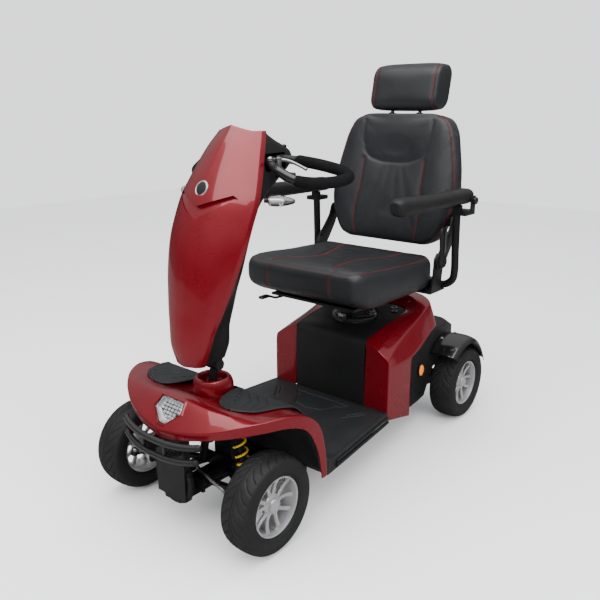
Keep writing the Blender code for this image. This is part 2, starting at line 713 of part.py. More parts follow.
def rear_fender(word, side):
    rows = []
    reach = ((48, 0.172), (65, 0.172), (82, 0.171), (98, 0.168), (114, 0.161), (129, 0.154),
             (143, 0.149), (156, 0.147))
    across = ((0.214, 0.003), (0.262, 0.005), (0.294, 0.000), (0.304, -0.016))
    for angle, radius in reach:
        a = math.radians(angle)
        inner = body_side(REAR_X + radius * math.cos(a)) + 0.0013
        row = []
        for y, lift in ((max(inner, 0.178), -0.002),) + across:
            r = radius + lift
            row.append(Vector((REAR_X + r * math.cos(a), y * side, AXLE_Z + r * math.sin(a))))
        rows.append(row)
    fender = skin(f"rear_fender_{word}", rows, wall=0.0025)
    point_outwards(fender, Vector((0, 0, 1)))
    return finish(fender, BLACK_SATIN)


def battery_pack():
    pack = box("battery_pack", (-0.286, -0.124), (-0.165, 0.165), (RAIL_Z[1] + GAP, 0.285), bevel=0.006)
    return finish(pack, BLACK_SATIN)


# ---------------------------------------------------------------- wheels
def tyre(name, x, y):
    w = TYRE_HALF_WIDTH
    profile = [(BEAD_R, 0.036), (0.094, 0.0440), (0.110, w), (0.123, 0.0395), (TYRE_R, 0.020)]
    profile += [(r, -h) for r, h in reversed(profile)]
    return finish(turned(name, profile, (x, y, AXLE_Z), 28, "Y", closed=True), RUBBER)


def rim(name, x, y, side):
    profile = [(RIM_R, 0.036), (RIM_R, -0.036), (0.0735, -0.036), (0.0700, 0.004), (0.028, 0.008),
               (0.022, -0.012), (HUB_BORE_R, -0.012), (HUB_BORE_R, 0.026), (0.020, 0.028), (0.026, 0.018),
               (0.068, 0.016), (0.0745, 0.036)]
    wheel = turned(name, profile, (x, y, AXLE_Z), 20, "Y" if side == 1 else "-Y", closed=True)
    windows = []
    for k in range(5):
        a = math.radians(90 + 72 * k)
        middle = Vector((x + 0.049 * math.cos(a), y, AXLE_Z + 0.049 * math.sin(a)))
        hole = rod("window", middle - Vector((0, 0.05, 0)), middle + Vector((0, 0.05, 0)), 0.0125, 6)
        windows.append(hole)
    return finish(carve(wheel, *windows), SILVER)


# ---------------------------------------------------------------- front suspension and steering
def front_arm(word, side):
    def at(x, y, z):
        return Vector((x, y * side, z))

    arm = rod(f"front_arm_{word}", at(0.4335, ARM_PIVOT_Y, ARM_PIVOT_Z), at(0.5445, ARM_PIVOT_Y, ARM_PIVOT_Z),
              0.0125, 16)
    king = sided(KING, side)
    pieces = [
        rod("boss", king - STEER_UP * 0.021, king + STEER_UP * 0.021, 0.014, 16),
        bar("rear_leg", at(0.450, 0.048, 0.125), at(0.506, 0.158, 0.129), 0.016, 0.011),
        bar("front_leg", at(0.530, 0.048, 0.125), at(0.517, 0.158, 0.129), 0.015, 0.0105),
        box("perch", (0.449, 0.503), (side * 0.119, side * 0.149), (0.119, 0.1353)),
    ]
    fuse(arm, *pieces)
    carve(
        arm,
        rod("hinge_bore", at(0.42, ARM_PIVOT_Y, ARM_PIVOT_Z), at(0.56, ARM_PIVOT_Y, ARM_PIVOT_Z), 0.0074, 12),
        rod("king_bore", king - STEER_UP * 0.05, king + STEER_UP * 0.05, 0.0069, 12),
    )
    return finish(arm, BLACK_STEEL)


def coil_route(foot, head, radius, turns, start, stop):
    """A helix round the line from foot to head, between two fractions of its length."""
    foot, head = Vector(foot), Vector(head)
    along = head - foot
    side = along.orthogonal().normalized()
    other = along.normalized().cross(side)
    per_turn = 9
    count = int(turns * per_turn)
    points = []
    for k in range(count + 1):
        a = 2 * math.pi * k / per_turn
        t = start + (stop - start) * k / count
        points.append(foot + along * t + (side * math.cos(a) + other * math.sin(a)) * radius)
    return points


def front_coilover(word, side):
    foot, head = sided(COIL_FOOT, side), sided(COIL_HEAD, side)
    along = head - foot
    unit = rod(f"front_coilover_{word}", foot - Vector((0.011, 0, 0)), foot + Vector((0.011, 0, 0)), 0.009, 12)
    pieces = [
        rod("top_eye", head - Vector((0.011, 0, 0)), head + Vector((0.011, 0, 0)), 0.009, 12),
        rod("damper", foot + along * 0.02, foot + along * 0.60, 0.010, 12),
        rod("piston", foot + along * 0.55, foot + along * 0.98, 0.005, 10),
        rod("lower_seat", foot + along * 0.09, foot + along * 0.125, 0.0205, 16),
        rod("upper_seat", foot + along * 0.875, foot + along * 0.91, 0.0205, 16),
        tube("coil", coil_route(foot, head, 0.0170, 5, 0.115, 0.885), 0.0031, smooth=False, resolution=1),
    ]
    return finish(fuse(unit, *pieces), YELLOW)


def steering_ball(base, side):
    """The pin where a tie rod meets an arm whose axis passes through base."""
    return base + STEER_FWD * STEER_ARM + Vector((0, side * BALL_Y, 0))


def king_at(z, side):
    return sided(KING, side) + STEER_UP * ((z - KING.z) / STEER_UP.z)


def front_knuckle(word, side):
    def at(x, y, z):
        return Vector((x, y * side, z))

    king = sided(KING, side)
    outer = steering_ball(king_at(STEERING_ARM_Z, side), side)
    low, high = king - STEER_UP * 0.0300, king + STEER_UP * 0.0300
    knuckle = rod(f"front_knuckle_{word}", low, high, 0.0065, 12)
    pieces = [
        bar("top_ear", high - STEER_UP * 0.0045 + Vector((0, -0.012 * side, 0)),
            high - STEER_UP * 0.0045 + Vector((0, 0.024 * side, 0)), 0.026, 0.0075, STEER_UP),
        bar("low_ear", low + STEER_UP * 0.0045 + Vector((0, -0.012 * side, 0)),
            low + STEER_UP * 0.0045 + Vector((0, 0.024 * side, 0)), 0.026, 0.0075, STEER_UP),
        box("upright", (FRONT_X - 0.019, FRONT_X + 0.019), (side * 0.1815, side * 0.194), (0.096, 0.164)),
        rod("spindle", at(FRONT_X, 0.188, AXLE_Z), at(FRONT_X, 0.2793, AXLE_Z), SPINDLE_R, 16),
        bar("steering_arm", at(FRONT_X + 0.010, 0.187, 0.130), Vector((outer.x, outer.y, outer.z)), 0.011, 0.010),
        rod("ball_seat", outer - STEER_UP * 0.006, outer + STEER_UP * 0.006, 0.0095, 12),
        rod("ball_pin", outer, outer + STEER_UP * 0.0165, 0.0038, 10),
    ]
    return finish(fuse(knuckle, *pieces), BLACK_STEEL)


def tie_rod(word, side):
    outer = steering_ball(king_at(STEERING_ARM_Z, side), side) + STEER_UP * 0.0105
    inner = steering_ball(steering_axis_at(DROP_ARM_Z), side) + STEER_UP * 0.0085
    link = rod(f"tie_rod_{word}", inner, outer, 0.0050, 10)
    pieces = [
        rod("outer_eye", outer - STEER_UP * 0.0041, outer + STEER_UP * 0.0041, 0.0098, 12),
        rod("inner_eye", inner - STEER_UP * 0.0041, inner + STEER_UP * 0.0041, 0.0098, 12),
    ]
    fuse(link, *pieces)
    carve(link, rod("eye", outer - STEER_UP * 0.02, outer + STEER_UP * 0.02, 0.0042, 10))
    return finish(link, STEEL)


def steering_shaft():
    low = steering_axis_at(DROP_ARM_Z)
    shaft = rod("steering_shaft", low - STEER_UP * 0.0096, TILT - STEER_UP * 0.004, SHAFT_R, 24)
    drop = STEER_UP * 0.0068            # keeps the plate clear of the tie rods at full travel
    reach = low + STEER_FWD * (STEER_ARM - 0.002) - drop
    pieces = [
        bar("drop_arm", low - STEER_FWD * 0.012 - drop, reach, 0.026, 0.0046),
        bar("ball_plate", reach - Vector((0, BALL_Y + 0.010, 0)), reach + Vector((0, BALL_Y + 0.010, 0)),
            0.022, 0.0048),
        rod("tongue", TILT - Vector((0, 0.0120, 0)), TILT + Vector((0, 0.0120, 0)), 0.0155, 16),
    ]
    fuse(shaft, *pieces)
    carve(shaft, rod("tilt_bore", TILT - Vector((0, 0.03, 0)), TILT + Vector((0, 0.03, 0)), 0.0064, 12))
    return finish(shaft, BLACK_STEEL)


# ---------------------------------------------------------------- tiller
COLUMN_ROUTE = [(0.4450, 0, 0.458), (0.456, 0, 0.56), (0.437, 0, 0.66), (0.402, 0, 0.78), (0.338, 0, 0.915),
                (0.326, 0, 0.937)]


def tiller_column():
    column = tube("tiller_column", COLUMN_ROUTE, 0.0140, resolution=2)
    across = Vector((0, 0.0225, 0))
    pieces = [
        rod("hinge_pin", TILT - across, TILT + across, 0.0060, 12),
        box("yoke", (0.430, 0.461), (-0.0222, 0.0222), (0.4372, 0.468)),
    ]
    for _, side in SIDES:
        near, far = Vector((0, side * 0.0123, 0)), Vector((0, side * 0.0225, 0))
        pieces.append(rod("ear", TILT + near, TILT + far, 0.0155, 16))
        pieces.append(box("cheek", (0.4290, 0.4530), (side * 0.0124, side * 0.0219), (0.420, 0.440)))
    return finish(fuse(column, *pieces), BLACK_STEEL)


# Tiller covers, left half, from the top down: the edge where both covers meet, the front crease on
# the centre plane, and the rear cover's back on the centre plane with its half-width there.
TILLER_LINE = [
    ((0.304, 0.079, 1.030), (0.352, 0, 1.045)),
    ((0.326, 0.095, 0.993), (0.392, 0, 0.998)),
    ((0.349, 0.110, 0.950), (0.425, 0, 0.953)),
    ((0.371, 0.124, 0.907), (0.453, 0, 0.910)),
    ((0.393, 0.135, 0.864), (0.478, 0, 0.865)),
    ((0.418, 0.137, 0.813), (0.498, 0, 0.815)),
    ((0.437, 0.136, 0.769), (0.513, 0, 0.770)),
    ((0.453, 0.130, 0.724), (0.525, 0, 0.724)),
    ((0.470, 0.120, 0.671), (0.534, 0, 0.671)),
    ((0.484, 0.108, 0.625), (0.539, 0, 0.625)),
    ((0.497, 0.095, 0.580), (0.543, 0, 0.580)),
    ((0.509, 0.080, 0.535), (0.549, 0, 0.535)),
    ((0.517, 0.068, 0.486), (0.553, 0, 0.486)),
    ((0.516, 0.049, 0.444), (0.548, 0, 0.443)),
]
REAR_LID = [(0.306, 0.0725, 1.0285), (0.3185, 0.0670, 1.0285), (0.333, 0.049, 1.0285),
            (0.341, 0.0235, 1.0335), (0.345, 0, 1.0385)]
REAR_BACK = [
    (0.296, 1.024, 0.070), (0.256, 1.006, 0.078), (0.190, 0.974, 0.078), (0.183, 0.953, 0.078),
    (0.208, 0.925, 0.076), (0.300, 0.870, 0.072), (0.334, 0.785, 0.068), (0.352, 0.724, 0.062),
    (0.368, 0.668, 0.056), (0.384, 0.620, 0.050), (0.396, 0.575, 0.046), (0.408, 0.530, 0.042),
    (0.408, 0.478, 0.036), (0.421, 0.440, 0.030),
]


def tiller_front_cover():
    rows = []
    for edge, crease in TILLER_LINE:
        edge, crease = Vector(edge), Vector(crease)
        brow = edge + Vector((0.015, -0.003, 0.001))
        deep = crease.x - brow.x
        rows.append([
            edge, brow,
            Vector((brow.x + deep * 0.50, brow.y * 0.76, brow.z)),
            Vector((brow.x + deep * 0.86, brow.y * 0.38, (brow.z + crease.z) / 2)),
            crease,
        ])
    cover = skin("tiller_front_cover", rows, mirror=True)
    point_outwards(cover, Vector((1, 0, 0)))
    return finish(cover, RED)


def tiller_rear_cover():
    rows = [[Vector(point) for point in REAR_LID]]
    for (edge, _), (back_x, back_z, half) in zip(TILLER_LINE, REAR_BACK):
        edge = Vector(edge) + Vector((-0.0015, -0.0045, 0))
        rows.append([
            edge,
            Vector((edge.x + (back_x - edge.x) * 0.38, (edge.y + half) / 2, edge.z + (back_z - edge.z) * 0.4)),
            Vector((back_x + (edge.x - back_x) * 0.16, half, back_z + (edge.z - back_z) * 0.1)),
            Vector((back_x, half * 0.75, back_z)),
            Vector((back_x, 0, back_z)),
        ])
    cover = skin("tiller_rear_cover", rows, mirror=True)
    point_outwards(cover, Vector((-1, 0, 0)))
    holes = [
        box("bar_slot", (0.2363, 0.3415), (-0.126, 0.126), (0.9307, 0.9745)),
        box("lever_slot", (0.2403, 0.2915), (-0.126, 0.126), (0.9113, 0.9266)),
    ]
    return finish(carve(cover, *holes), BLACK_SATIN)


GRIP_LOOP = [(0.262, 0.066, 0.957), (0.247, 0.115, 0.956), (0.238, 0.165, 0.951), (0.227, 0.220, 0.942),
             (0.213, 0.258, 0.930), (0.214, 0.273, 0.919), (0.238, 0.262, 0.910), (0.275, 0.215, 0.905),
             (0.301, 0.170, 0.911), (0.318, 0.134, 0.931), (0.320, 0.107, 0.947), (0.298, 0.066, 0.953)]
BRAKE_HUB = Vector((0.316, 0.1300, 0.962))


def handlebar():
    bars = tube("handlebar", [(0.2800, -0.075, 0.955), (0.2800, 0, 0.955), (0.2800, 0.075, 0.955)], 0.012,
                smooth=False)
    pieces = [rod("clamp", (0.3215, 0, 0.9385), (0.3115, 0, 0.962), 0.019, 16),
              bar("stem", (0.316, 0, 0.953), (0.276, 0, 0.955), 0.024, 0.014)]
    for _, side in SIDES:
        pieces.append(tube("loop", [sided(p, side) for p in GRIP_LOOP], 0.0150, closed=True, resolution=1))
    perch = BRAKE_HUB - Vector((0, 0, 0.0062))
    pieces.append(rod("perch", perch - Vector((0, 0, 0.030)), perch, 0.0080, 12))
    pieces.append(rod("perch_pin", perch - Vector((0, 0, 0.004)), perch + Vector((0, 0, 0.0115)), 0.0030, 10))
    return finish(fuse(bars, *pieces), BLACK_SATIN)


def brake_lever():
    hub = rod("brake_lever", BRAKE_HUB - Vector((0, 0, 0.0058)), BRAKE_HUB + Vector((0, 0, 0.0050)), 0.0080, 12)
    blade = [(0.316, 0.1300, 0.962), (0.302, 0.150, 0.958), (0.292, 0.175, 0.9480), (0.290, 0.198, 0.9390)]
    horn = [(0.318, 0.1290, 0.962), (0.336, 0.1280, 0.963), (0.346, 0.1275, 0.9635)]
    fuse(hub, tube("blade", blade, 0.0040, resolution=1), tube("horn", horn, 0.0038, resolution=1),
         ball("horn_end", horn[-1], 0.0072, 6))
    carve(hub, rod("pivot_bore", BRAKE_HUB - Vector((0, 0, 0.02)), BRAKE_HUB + Vector((0, 0, 0.02)), 0.0034, 10))
    return finish(hub, STEEL)


def throttle_lever():
    lever = tube("throttle_lever", [(0.264, -0.128, 0.9175), (0.264, 0, 0.9175), (0.264, 0.128, 0.9175)], 0.0045,
                 smooth=False)
    pieces = [rod("boss", (0.264, 0, 0.910), (0.264, 0, 0.925), 0.012, 16)]
    for _, side in SIDES:
        pieces.append(box("paddle", (0.259, 0.269), (side * 0.104, side * 0.140), (0.909, 0.926), bevel=0.002))
    return finish(fuse(lever, *pieces), BLACK_GLOSS)


def indicator(word, side):
    root = Vector((0.380, 0.1372 * side, 0.866))
    tip = Vector((0.343, 0.207 * side, 0.866))
    along = tip - root
    lamp = turned(f"indicator_{word}", [(0, 1.0), (0.005, 0.95), (0.011, 0.72), (0.0145, 0.42), (0.0125, 0.16),
                                        (0.006, 0.10), (0.006, 0.0), (0, 0.0)], root, 16, along)
    lamp.data.transform(Matrix.Diagonal((1, 1, along.length, 1)))
    return finish(lamp, LENS)


DASH_NORMAL = Vector((-0.436, 0, 0.900)).normalized()


def dash_point(t, y):
    """A point of the dash panel; t runs from its lower rear edge to its upper front edge."""
    low, high = Vector((0.190, 0, 0.974)), Vector((0.256, 0, 1.006))
    return low.lerp(high, t) + Vector((0, y, 0)) + DASH_NORMAL * GAP


def speed_knob():
    knob = turned("speed_knob", [(0, 0.013), (0.009, 0.0125), (0.012, 0.010), (0.0135, 0), (0, 0)],
                  dash_point(0.55, 0), 16, DASH_NORMAL)
    return finish(knob, BLACK_GLOSS)


def ignition_key():
    base = dash_point(0.45, -0.040)
    barrel = rod("ignition_key", base, base + DASH_NORMAL * 0.006, 0.0075, 14)
    bow = base + DASH_NORMAL * 0.020
    fuse(barrel, bar("blade", base + DASH_NORMAL * 0.004, bow, 0.0025, 0.010),
         bar("bow", bow - DASH_NORMAL * 0.006, bow + DASH_NORMAL * 0.010, 0.0040, 0.017))
    return finish(barrel, STEEL)


# ---------------------------------------------------------------- rear suspension and drive
def transaxle():
    axle = rod("transaxle", (REAR_X, -0.192, AXLE_Z), (REAR_X, 0.192, AXLE_Z), 0.021, 16)
    pieces = [
        rod("gearbox", (REAR_X, -0.028, AXLE_Z), (REAR_X, 0.034, AXLE_Z), 0.052, 20),
        box("gear_case", (-0.520, -0.415), (-0.027, 0.020), (0.095, 0.178), bevel=0.006),
        rod("motor", (MOTOR_X, -0.158, MOTOR_Z), (MOTOR_X, -0.020, MOTOR_Z), 0.038, 20),
    ]
    for _, side in SIDES:
        near = Vector((SWING_PIVOT.x, side * 0.1175, SWING_PIVOT.z))
        far = Vector((SWING_PIVOT.x, side * 0.1465, SWING_PIVOT.z))
        pieces.append(rod("bush", near, far, 0.017, 16))
        pieces.append(bar("swing_arm", (SWING_PIVOT.x, side * 0.182, SWING_PIVOT.z),
                          (REAR_X, side * 0.182, AXLE_Z), 0.016, 0.026))
        pieces.append(box("arm_foot", (-0.349, -0.321), (side * 0.1300, side * 0.188), (0.139, 0.161)))
        pieces.append(rod("half_shaft", (REAR_X, side * 0.18, AXLE_Z), (REAR_X, side * 0.2815, AXLE_Z),
                          SPINDLE_R, 16))
        pieces.append(box("coil_seat", (-0.526, -0.484), (side * 0.082, side * 0.118), (0.136, 0.158)))
    fuse(axle, *pieces)
    ends = Vector((0, 0.1468, 0))
    carve(axle, rod("swing_bore", SWING_PIVOT - ends * 1.025, SWING_PIVOT + ends * 1.025, 0.0104, 16))
    return finish(axle, BLACK_STEEL)


def rear_spring(word, side):
    foot = Vector((REAR_COIL_X, side * REAR_COIL_Y, 0.158 + GAP))
    head = Vector((REAR_COIL_X, side * REAR_COIL_Y, 0.2997))
    along = head - foot
    core = rod(f"rear_spring_{word}", foot, head, 0.0070, 12)
    pieces = [
        rod("lower_seat", foot, foot + along * 0.04, 0.0205, 16),
        rod("upper_seat", foot + along * 0.96, head, 0.0205, 16),
        tube("coil", coil_route(foot, head, 0.0170, 5, 0.03, 0.97), 0.0031, smooth=False, resolution=1),
    ]
    return finish(fuse(core, *pieces), YELLOW)


def freewheel_lever():
    def at(x, y, z):
        return Vector((MOTOR_X + x, -0.158 - y, MOTOR_Z + z))

    hub = rod("freewheel_lever", at(0, GAP, 0), at(0, 0.0070, 0), 0.014, 16)
    fuse(hub, bar("arm", at(0, 0.0040, 0), at(-0.044, 0.0040, 0.034), 0.0050, 0.010),
         ball("knob", at(-0.048, 0.0045, 0.037), 0.0075, 6))
    return finish(hub, AMBER)


# ---------------------------------------------------------------- seat
SWIVEL_Z = 0.4603
SLIDE_Z = 0.4863


def seat_swivel():
    hub = rod("seat_swivel", (SEAT_X, 0, SWIVEL_Z), (SEAT_X, 0, 0.474), 0.050, 24)
    pieces = [box("bearing_plate", (-0.345, -0.105), (-0.115, 0.115), (0.4695, 0.4750))]
    for _, side in SIDES:
        pieces.append(box("lower_rail", (-0.355, -0.070), (side * 0.090, side * 0.114), (0.4700, 0.4860)))
    return finish(fuse(hub, *pieces), BLACK_STEEL)


def seat_frame():
    base = box("seat_frame", (-0.365, 0.020), (-0.165, 0.165), (0.4955, 0.5030))
    pieces = []
    for _, side in SIDES:
        pieces.append(box("upper_rail", (-0.365, -0.030), (side * 0.088, side * 0.116), (SLIDE_Z, 0.4965)))
        pieces.append(box("wing", (-0.395, -0.300), (side * 0.150, side * 0.2440), (0.4965, 0.5025)))
        outline = [(-0.367, 0.4970), (-0.305, 0.4970), (-0.318, 0.560), (-0.322, 0.612), (-0.337, 0.627),
                   (-0.363, 0.627), (-0.377, 0.612), (-0.377, 0.570)]
        pieces.append(plate("hinge_plate", outline, 0.0060, 0.2380 if side == 1 else -0.2440))
        near, far = HINGE + Vector((0, side * 0.240, 0)), HINGE + Vector((0, side * 0.2505, 0))
        pieces.append(rod("hinge_pin", near, far, 0.0070, 14))
    pieces.append(box("cross_socket", (-0.403, -0.367), (-0.205, 0.205), (0.4950, 0.5310)))
    fuse(base, *pieces)
    carve(base, rod("socket_bore", (-0.385, -0.25, 0.513), (-0.385, 0.25, 0.513), 0.0130, 20))
    return finish(base, BLACK_STEEL)


def seat_cushion():
    def ring(x, half, low, high, corner):
        return rounded_ring((x, 0, (low + high) / 2), (0, 1, 0), (0, 0, 1), half, (high - low) / 2, corner, 4)

    stations = [(0.092, 0.165, 0.560, 0.600, 0.019), (0.085, 0.205, 0.545, 0.618, 0.028),
                (0.060, 0.224, 0.530, 0.632, 0.034), (0.000, 0.230, 0.506, 0.634, 0.038),
                (-0.120, 0.230, 0.5040, 0.624, 0.036), (-0.260, 0.230, 0.5040, 0.618, 0.036),
                (-0.335, 0.224, 0.5045, 0.616, 0.034), (-0.355, 0.200, 0.520, 0.603, 0.028)]
    return finish(loft("seat_cushion", [ring(*s) for s in stations]), LEATHER)


BACK_LINE = [  # height, half-width, front face's x, thickness, corner
    (0.636, 0.165, -0.392, 0.066, 0.030), (0.655, 0.197, -0.382, 0.088, 0.036),
    (0.720, 0.232, -0.386, 0.098, 0.042), (0.785, 0.2500, -0.398, 0.100, 0.044),
    (0.866, 0.245, -0.418, 0.098, 0.042), (0.940, 0.231, -0.436, 0.092, 0.040),
    (1.015, 0.211, -0.452, 0.084, 0.036), (1.050, 0.188, -0.462, 0.070, 0.032),
    (1.066, 0.148, -0.474, 0.044, 0.020),
]
HEADREST_FOOT = Vector((-0.4965, 0, 1.010))


def backrest():
    rings = []
    for z, half, x, thick, corner in BACK_LINE:
        rings.append(rounded_ring((x - thick / 2, 0, z), (0, 1, 0), (1, 0, 0), half, thick / 2, corner, 4))
    back = loft("backrest", rings)
    pieces = []
    for _, side in SIDES:
        outline = [(-0.324, 0.588), (-0.338, 0.574), (-0.362, 0.574), (-0.376, 0.588), (-0.452, 0.700),
                   (-0.452, 0.740), (-0.418, 0.740), (-0.400, 0.700), (-0.324, 0.612)]
        pieces.append(plate("bracket", outline, 0.0060, 0.2446 if side == 1 else -0.2506))
        pieces.append(box("bracket_root", (-0.450, -0.420), (side * 0.19, side * 0.2500), (0.706, 0.738)))
    fuse(back, *pieces)
    bores = []
    for _, side in SIDES:
        middle = HEADREST_FOOT + Vector((0, side * 0.055, 0))
        bores.append(rod("post_bore", middle - HEADREST_LEAN * 0.107, middle + HEADREST_LEAN * 0.10, 0.0066, 12))
        pin = HINGE + Vector((0, side * 0.2475, 0))
        bores.append(rod("hinge_bore", pin - Vector((0, 0.02, 0)), pin + Vector((0, 0.02, 0)), 0.0074, 14))
    return finish(carve(back, *bores), LEATHER)


def headrest():
    centre = Vector((-0.5320, 0, 1.153))
    rings = []
    for y, grow in ((-0.134, 0.70), (-0.127, 0.93), (-0.095, 1.0), (0.0, 1.01), (0.095, 1.0), (0.127, 0.93),
                    (0.134, 0.70)):
        rings.append(rounded_ring(centre + Vector((0, y, 0)), (1, 0, 0), HEADREST_LEAN, 0.052 * grow,
                                  0.081 * grow, 0.042 * grow, 4))
    pillow = loft("headrest", rings)
    posts = []
    for _, side in SIDES:
        middle = HEADREST_FOOT + Vector((0, side * 0.055, 0))
        posts.append(rod("post", middle - HEADREST_LEAN * 0.095, middle + HEADREST_LEAN * 0.12, 0.0060, 12))
    return finish(fuse(pillow, *posts), LEATHER)


def armrest_post(word, side):
    route = [(-0.385, 0.100, 0.513), (-0.385, 0.160, 0.513), (-0.385, 0.215, 0.513), (-0.385, 0.255, 0.519),
             (-0.383, 0.278, 0.538), (-0.380, ARM_POST_Y, 0.565), (-0.376, ARM_POST_Y, 0.64),
             (-0.371, ARM_POST_Y, 0.760)]
    post = tube(f"armrest_post_{word}", [sided(p, side) for p in route], 0.0124, smooth=False)
    pin = sided(ARM_HINGE, side)
    pieces = [
        box("shelf", (-0.424, -0.357), (side * 0.2725, side * 0.3226), (0.7550, 0.7700)),
        box("stop", (-0.380, -0.358), (side * 0.2740, side * 0.3000), (0.7640, 0.7872)),
        box("ear", (-0.424, -0.396), (side * 0.3168, side * 0.3225), (0.7600, 0.8150)),
        rod("pin", Vector((pin.x, side * 0.2950, pin.z)), Vector((pin.x, side * 0.3210, pin.z)), 0.0060, 12),
        rod("knob", Vector((pin.x, side * 0.3220, pin.z)), Vector((pin.x, side * 0.3340, pin.z)), 0.0120, 14),
    ]
    return finish(fuse(post, *pieces), BLACK_STEEL)


def armrest_pad(word, side):
    def ring(x, low, high, half, corner):
        middle = (x, side * 0.2862, (low + high) / 2)
        return rounded_ring(middle, (0, 1, 0), (0, 0, 1), half, (high - low) / 2, corner, 3)

    stations = [(-0.432, 0.797, 0.826, 0.023, 0.010), (-0.424, 0.789, 0.834, 0.0285, 0.013),
                (-0.340, 0.788, 0.836, 0.0300, 0.015), (-0.180, 0.788, 0.836, 0.0300, 0.015),
                (-0.060, 0.788, 0.842, 0.0302, 0.016), (-0.015, 0.790, 0.844, 0.0300, 0.016),
                (0.008, 0.797, 0.836, 0.0230, 0.014)]
    pad = loft(f"armrest_pad_{word}", [ring(*s) for s in stations])
    pin = sided(ARM_HINGE, side)
    carve(pad, rod("pin_bore", Vector((pin.x, side * 0.2940, pin.z)), Vector((pin.x, side * 0.34, pin.z)),
                   0.0064, 12))
    return finish(pad, BLACK_SATIN)


def swivel_lever():
    lever = tube("swivel_lever", [(-0.045, -0.140, 0.4885), (0.000, -0.143, 0.4875), (0.024, -0.146, 0.4885),
                                  (0.053, -0.150, 0.4985), (0.086, -0.153, 0.4980)], 0.0040, resolution=1)
    fuse(lever, box("grip", (0.052, 0.090), (-0.162, -0.142), (0.4955, 0.5045), bevel=0.002))
    return finish(lever, BLACK_GLOSS)


def recline_lever():
    hub = rod("recline_lever", HINGE + Vector((0, 0.2512, 0)), HINGE + Vector((0, 0.2625, 0)), 0.0170, 18)
    outline = [(-0.362, 0.604), (-0.338, 0.604), (-0.327, 0.690), (-0.334, 0.708), (-0.352, 0.706), (-0.360, 0.690)]
    return finish(fuse(hub, plate("handle", outline, 0.0080, 0.2530)), BLACK_SATIN)


# ---------------------------------------------------------------- assembly
def build():
    main_frame()
    front_bumper()
    front_cowl()
    headlight_lens()
    steering_collar()
    floor_pan()
    floor_mat()
    battery_cover()
    rear_body()
    tail_light()
    battery_pack()
    seat_post_boot()
    transaxle()
    freewheel_lever()
    steering_shaft()
    tiller_column()
    tiller_front_cover()
    tiller_rear_cover()
    handlebar()
    brake_lever()
    throttle_lever()
    speed_knob()
    ignition_key()
    seat_swivel()
    seat_frame()
    seat_cushion()
    backrest()
    headrest()
    swivel_lever()
    recline_lever()
    for word, side in SIDES:
        side_cowl(word, side)
        side_reflector(word, side)
        rear_fender(word, side)
        front_arm(word, side)
        front_coilover(word, side)
        front_knuckle(word, side)
        tie_rod(word, side)
        rear_spring(word, side)
        indicator(word, side)
        armrest_post(word, side)
        armrest_pad(word, side)
        tyre(f"front_tyre_{word}", FRONT_X, side * FRONT_TRACK)
        rim(f"front_rim_{word}", FRONT_X, side * FRONT_TRACK, side)
        tyre(f"rear_tyre_{word}", REAR_X, side * REAR_TRACK)
        rim(f"rear_rim_{word}", REAR_X, side * REAR_TRACK, side)


build()
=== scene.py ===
"""Looks of the mobility scooter: finer shells, wheels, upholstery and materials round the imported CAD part.

Frame: +X forward, +Y the rider's left, +Z up, metres, origin on the ground midway between the axles.
"""
import math

import bmesh
import bpy
import numpy as np
from mathutils import Matrix, Vector
from mathutils.bvhtree import BVHTree


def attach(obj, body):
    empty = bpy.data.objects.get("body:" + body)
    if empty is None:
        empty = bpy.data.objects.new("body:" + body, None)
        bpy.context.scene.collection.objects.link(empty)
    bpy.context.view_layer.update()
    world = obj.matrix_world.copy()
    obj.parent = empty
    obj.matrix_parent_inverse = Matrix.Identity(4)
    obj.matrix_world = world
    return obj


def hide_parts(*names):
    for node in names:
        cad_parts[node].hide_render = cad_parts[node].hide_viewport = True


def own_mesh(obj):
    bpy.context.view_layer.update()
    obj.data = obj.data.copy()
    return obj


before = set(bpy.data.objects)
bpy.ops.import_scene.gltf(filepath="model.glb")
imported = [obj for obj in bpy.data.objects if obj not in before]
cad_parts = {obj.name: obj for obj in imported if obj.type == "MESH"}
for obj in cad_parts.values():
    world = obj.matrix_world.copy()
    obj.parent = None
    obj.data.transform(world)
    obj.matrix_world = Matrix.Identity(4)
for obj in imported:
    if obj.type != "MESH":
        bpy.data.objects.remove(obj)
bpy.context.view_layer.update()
SIDES = (("left", 1), ("right", -1))
SHELL = 0.003                 # wall of the moulded covers
AXLE_X, AXLE_Z = 0.512, 0.130    # the front axle's place; the rear one is at -AXLE_X
SEAT_POST_X = -0.225
# stands a slab's outline up in x and z
UPRIGHT = Matrix(((1, 0, 0, 0), (0, 0, -1, 0), (0, 1, 0, 0), (0, 0, 0, 1)))


# ------------------------------------------------------------------ materials
def tuned(node, numbers):
    """The node with plain numbers or colours set on its sockets."""
    for socket, number in numbers.items():
        node.inputs[socket].default_value = number
    return node


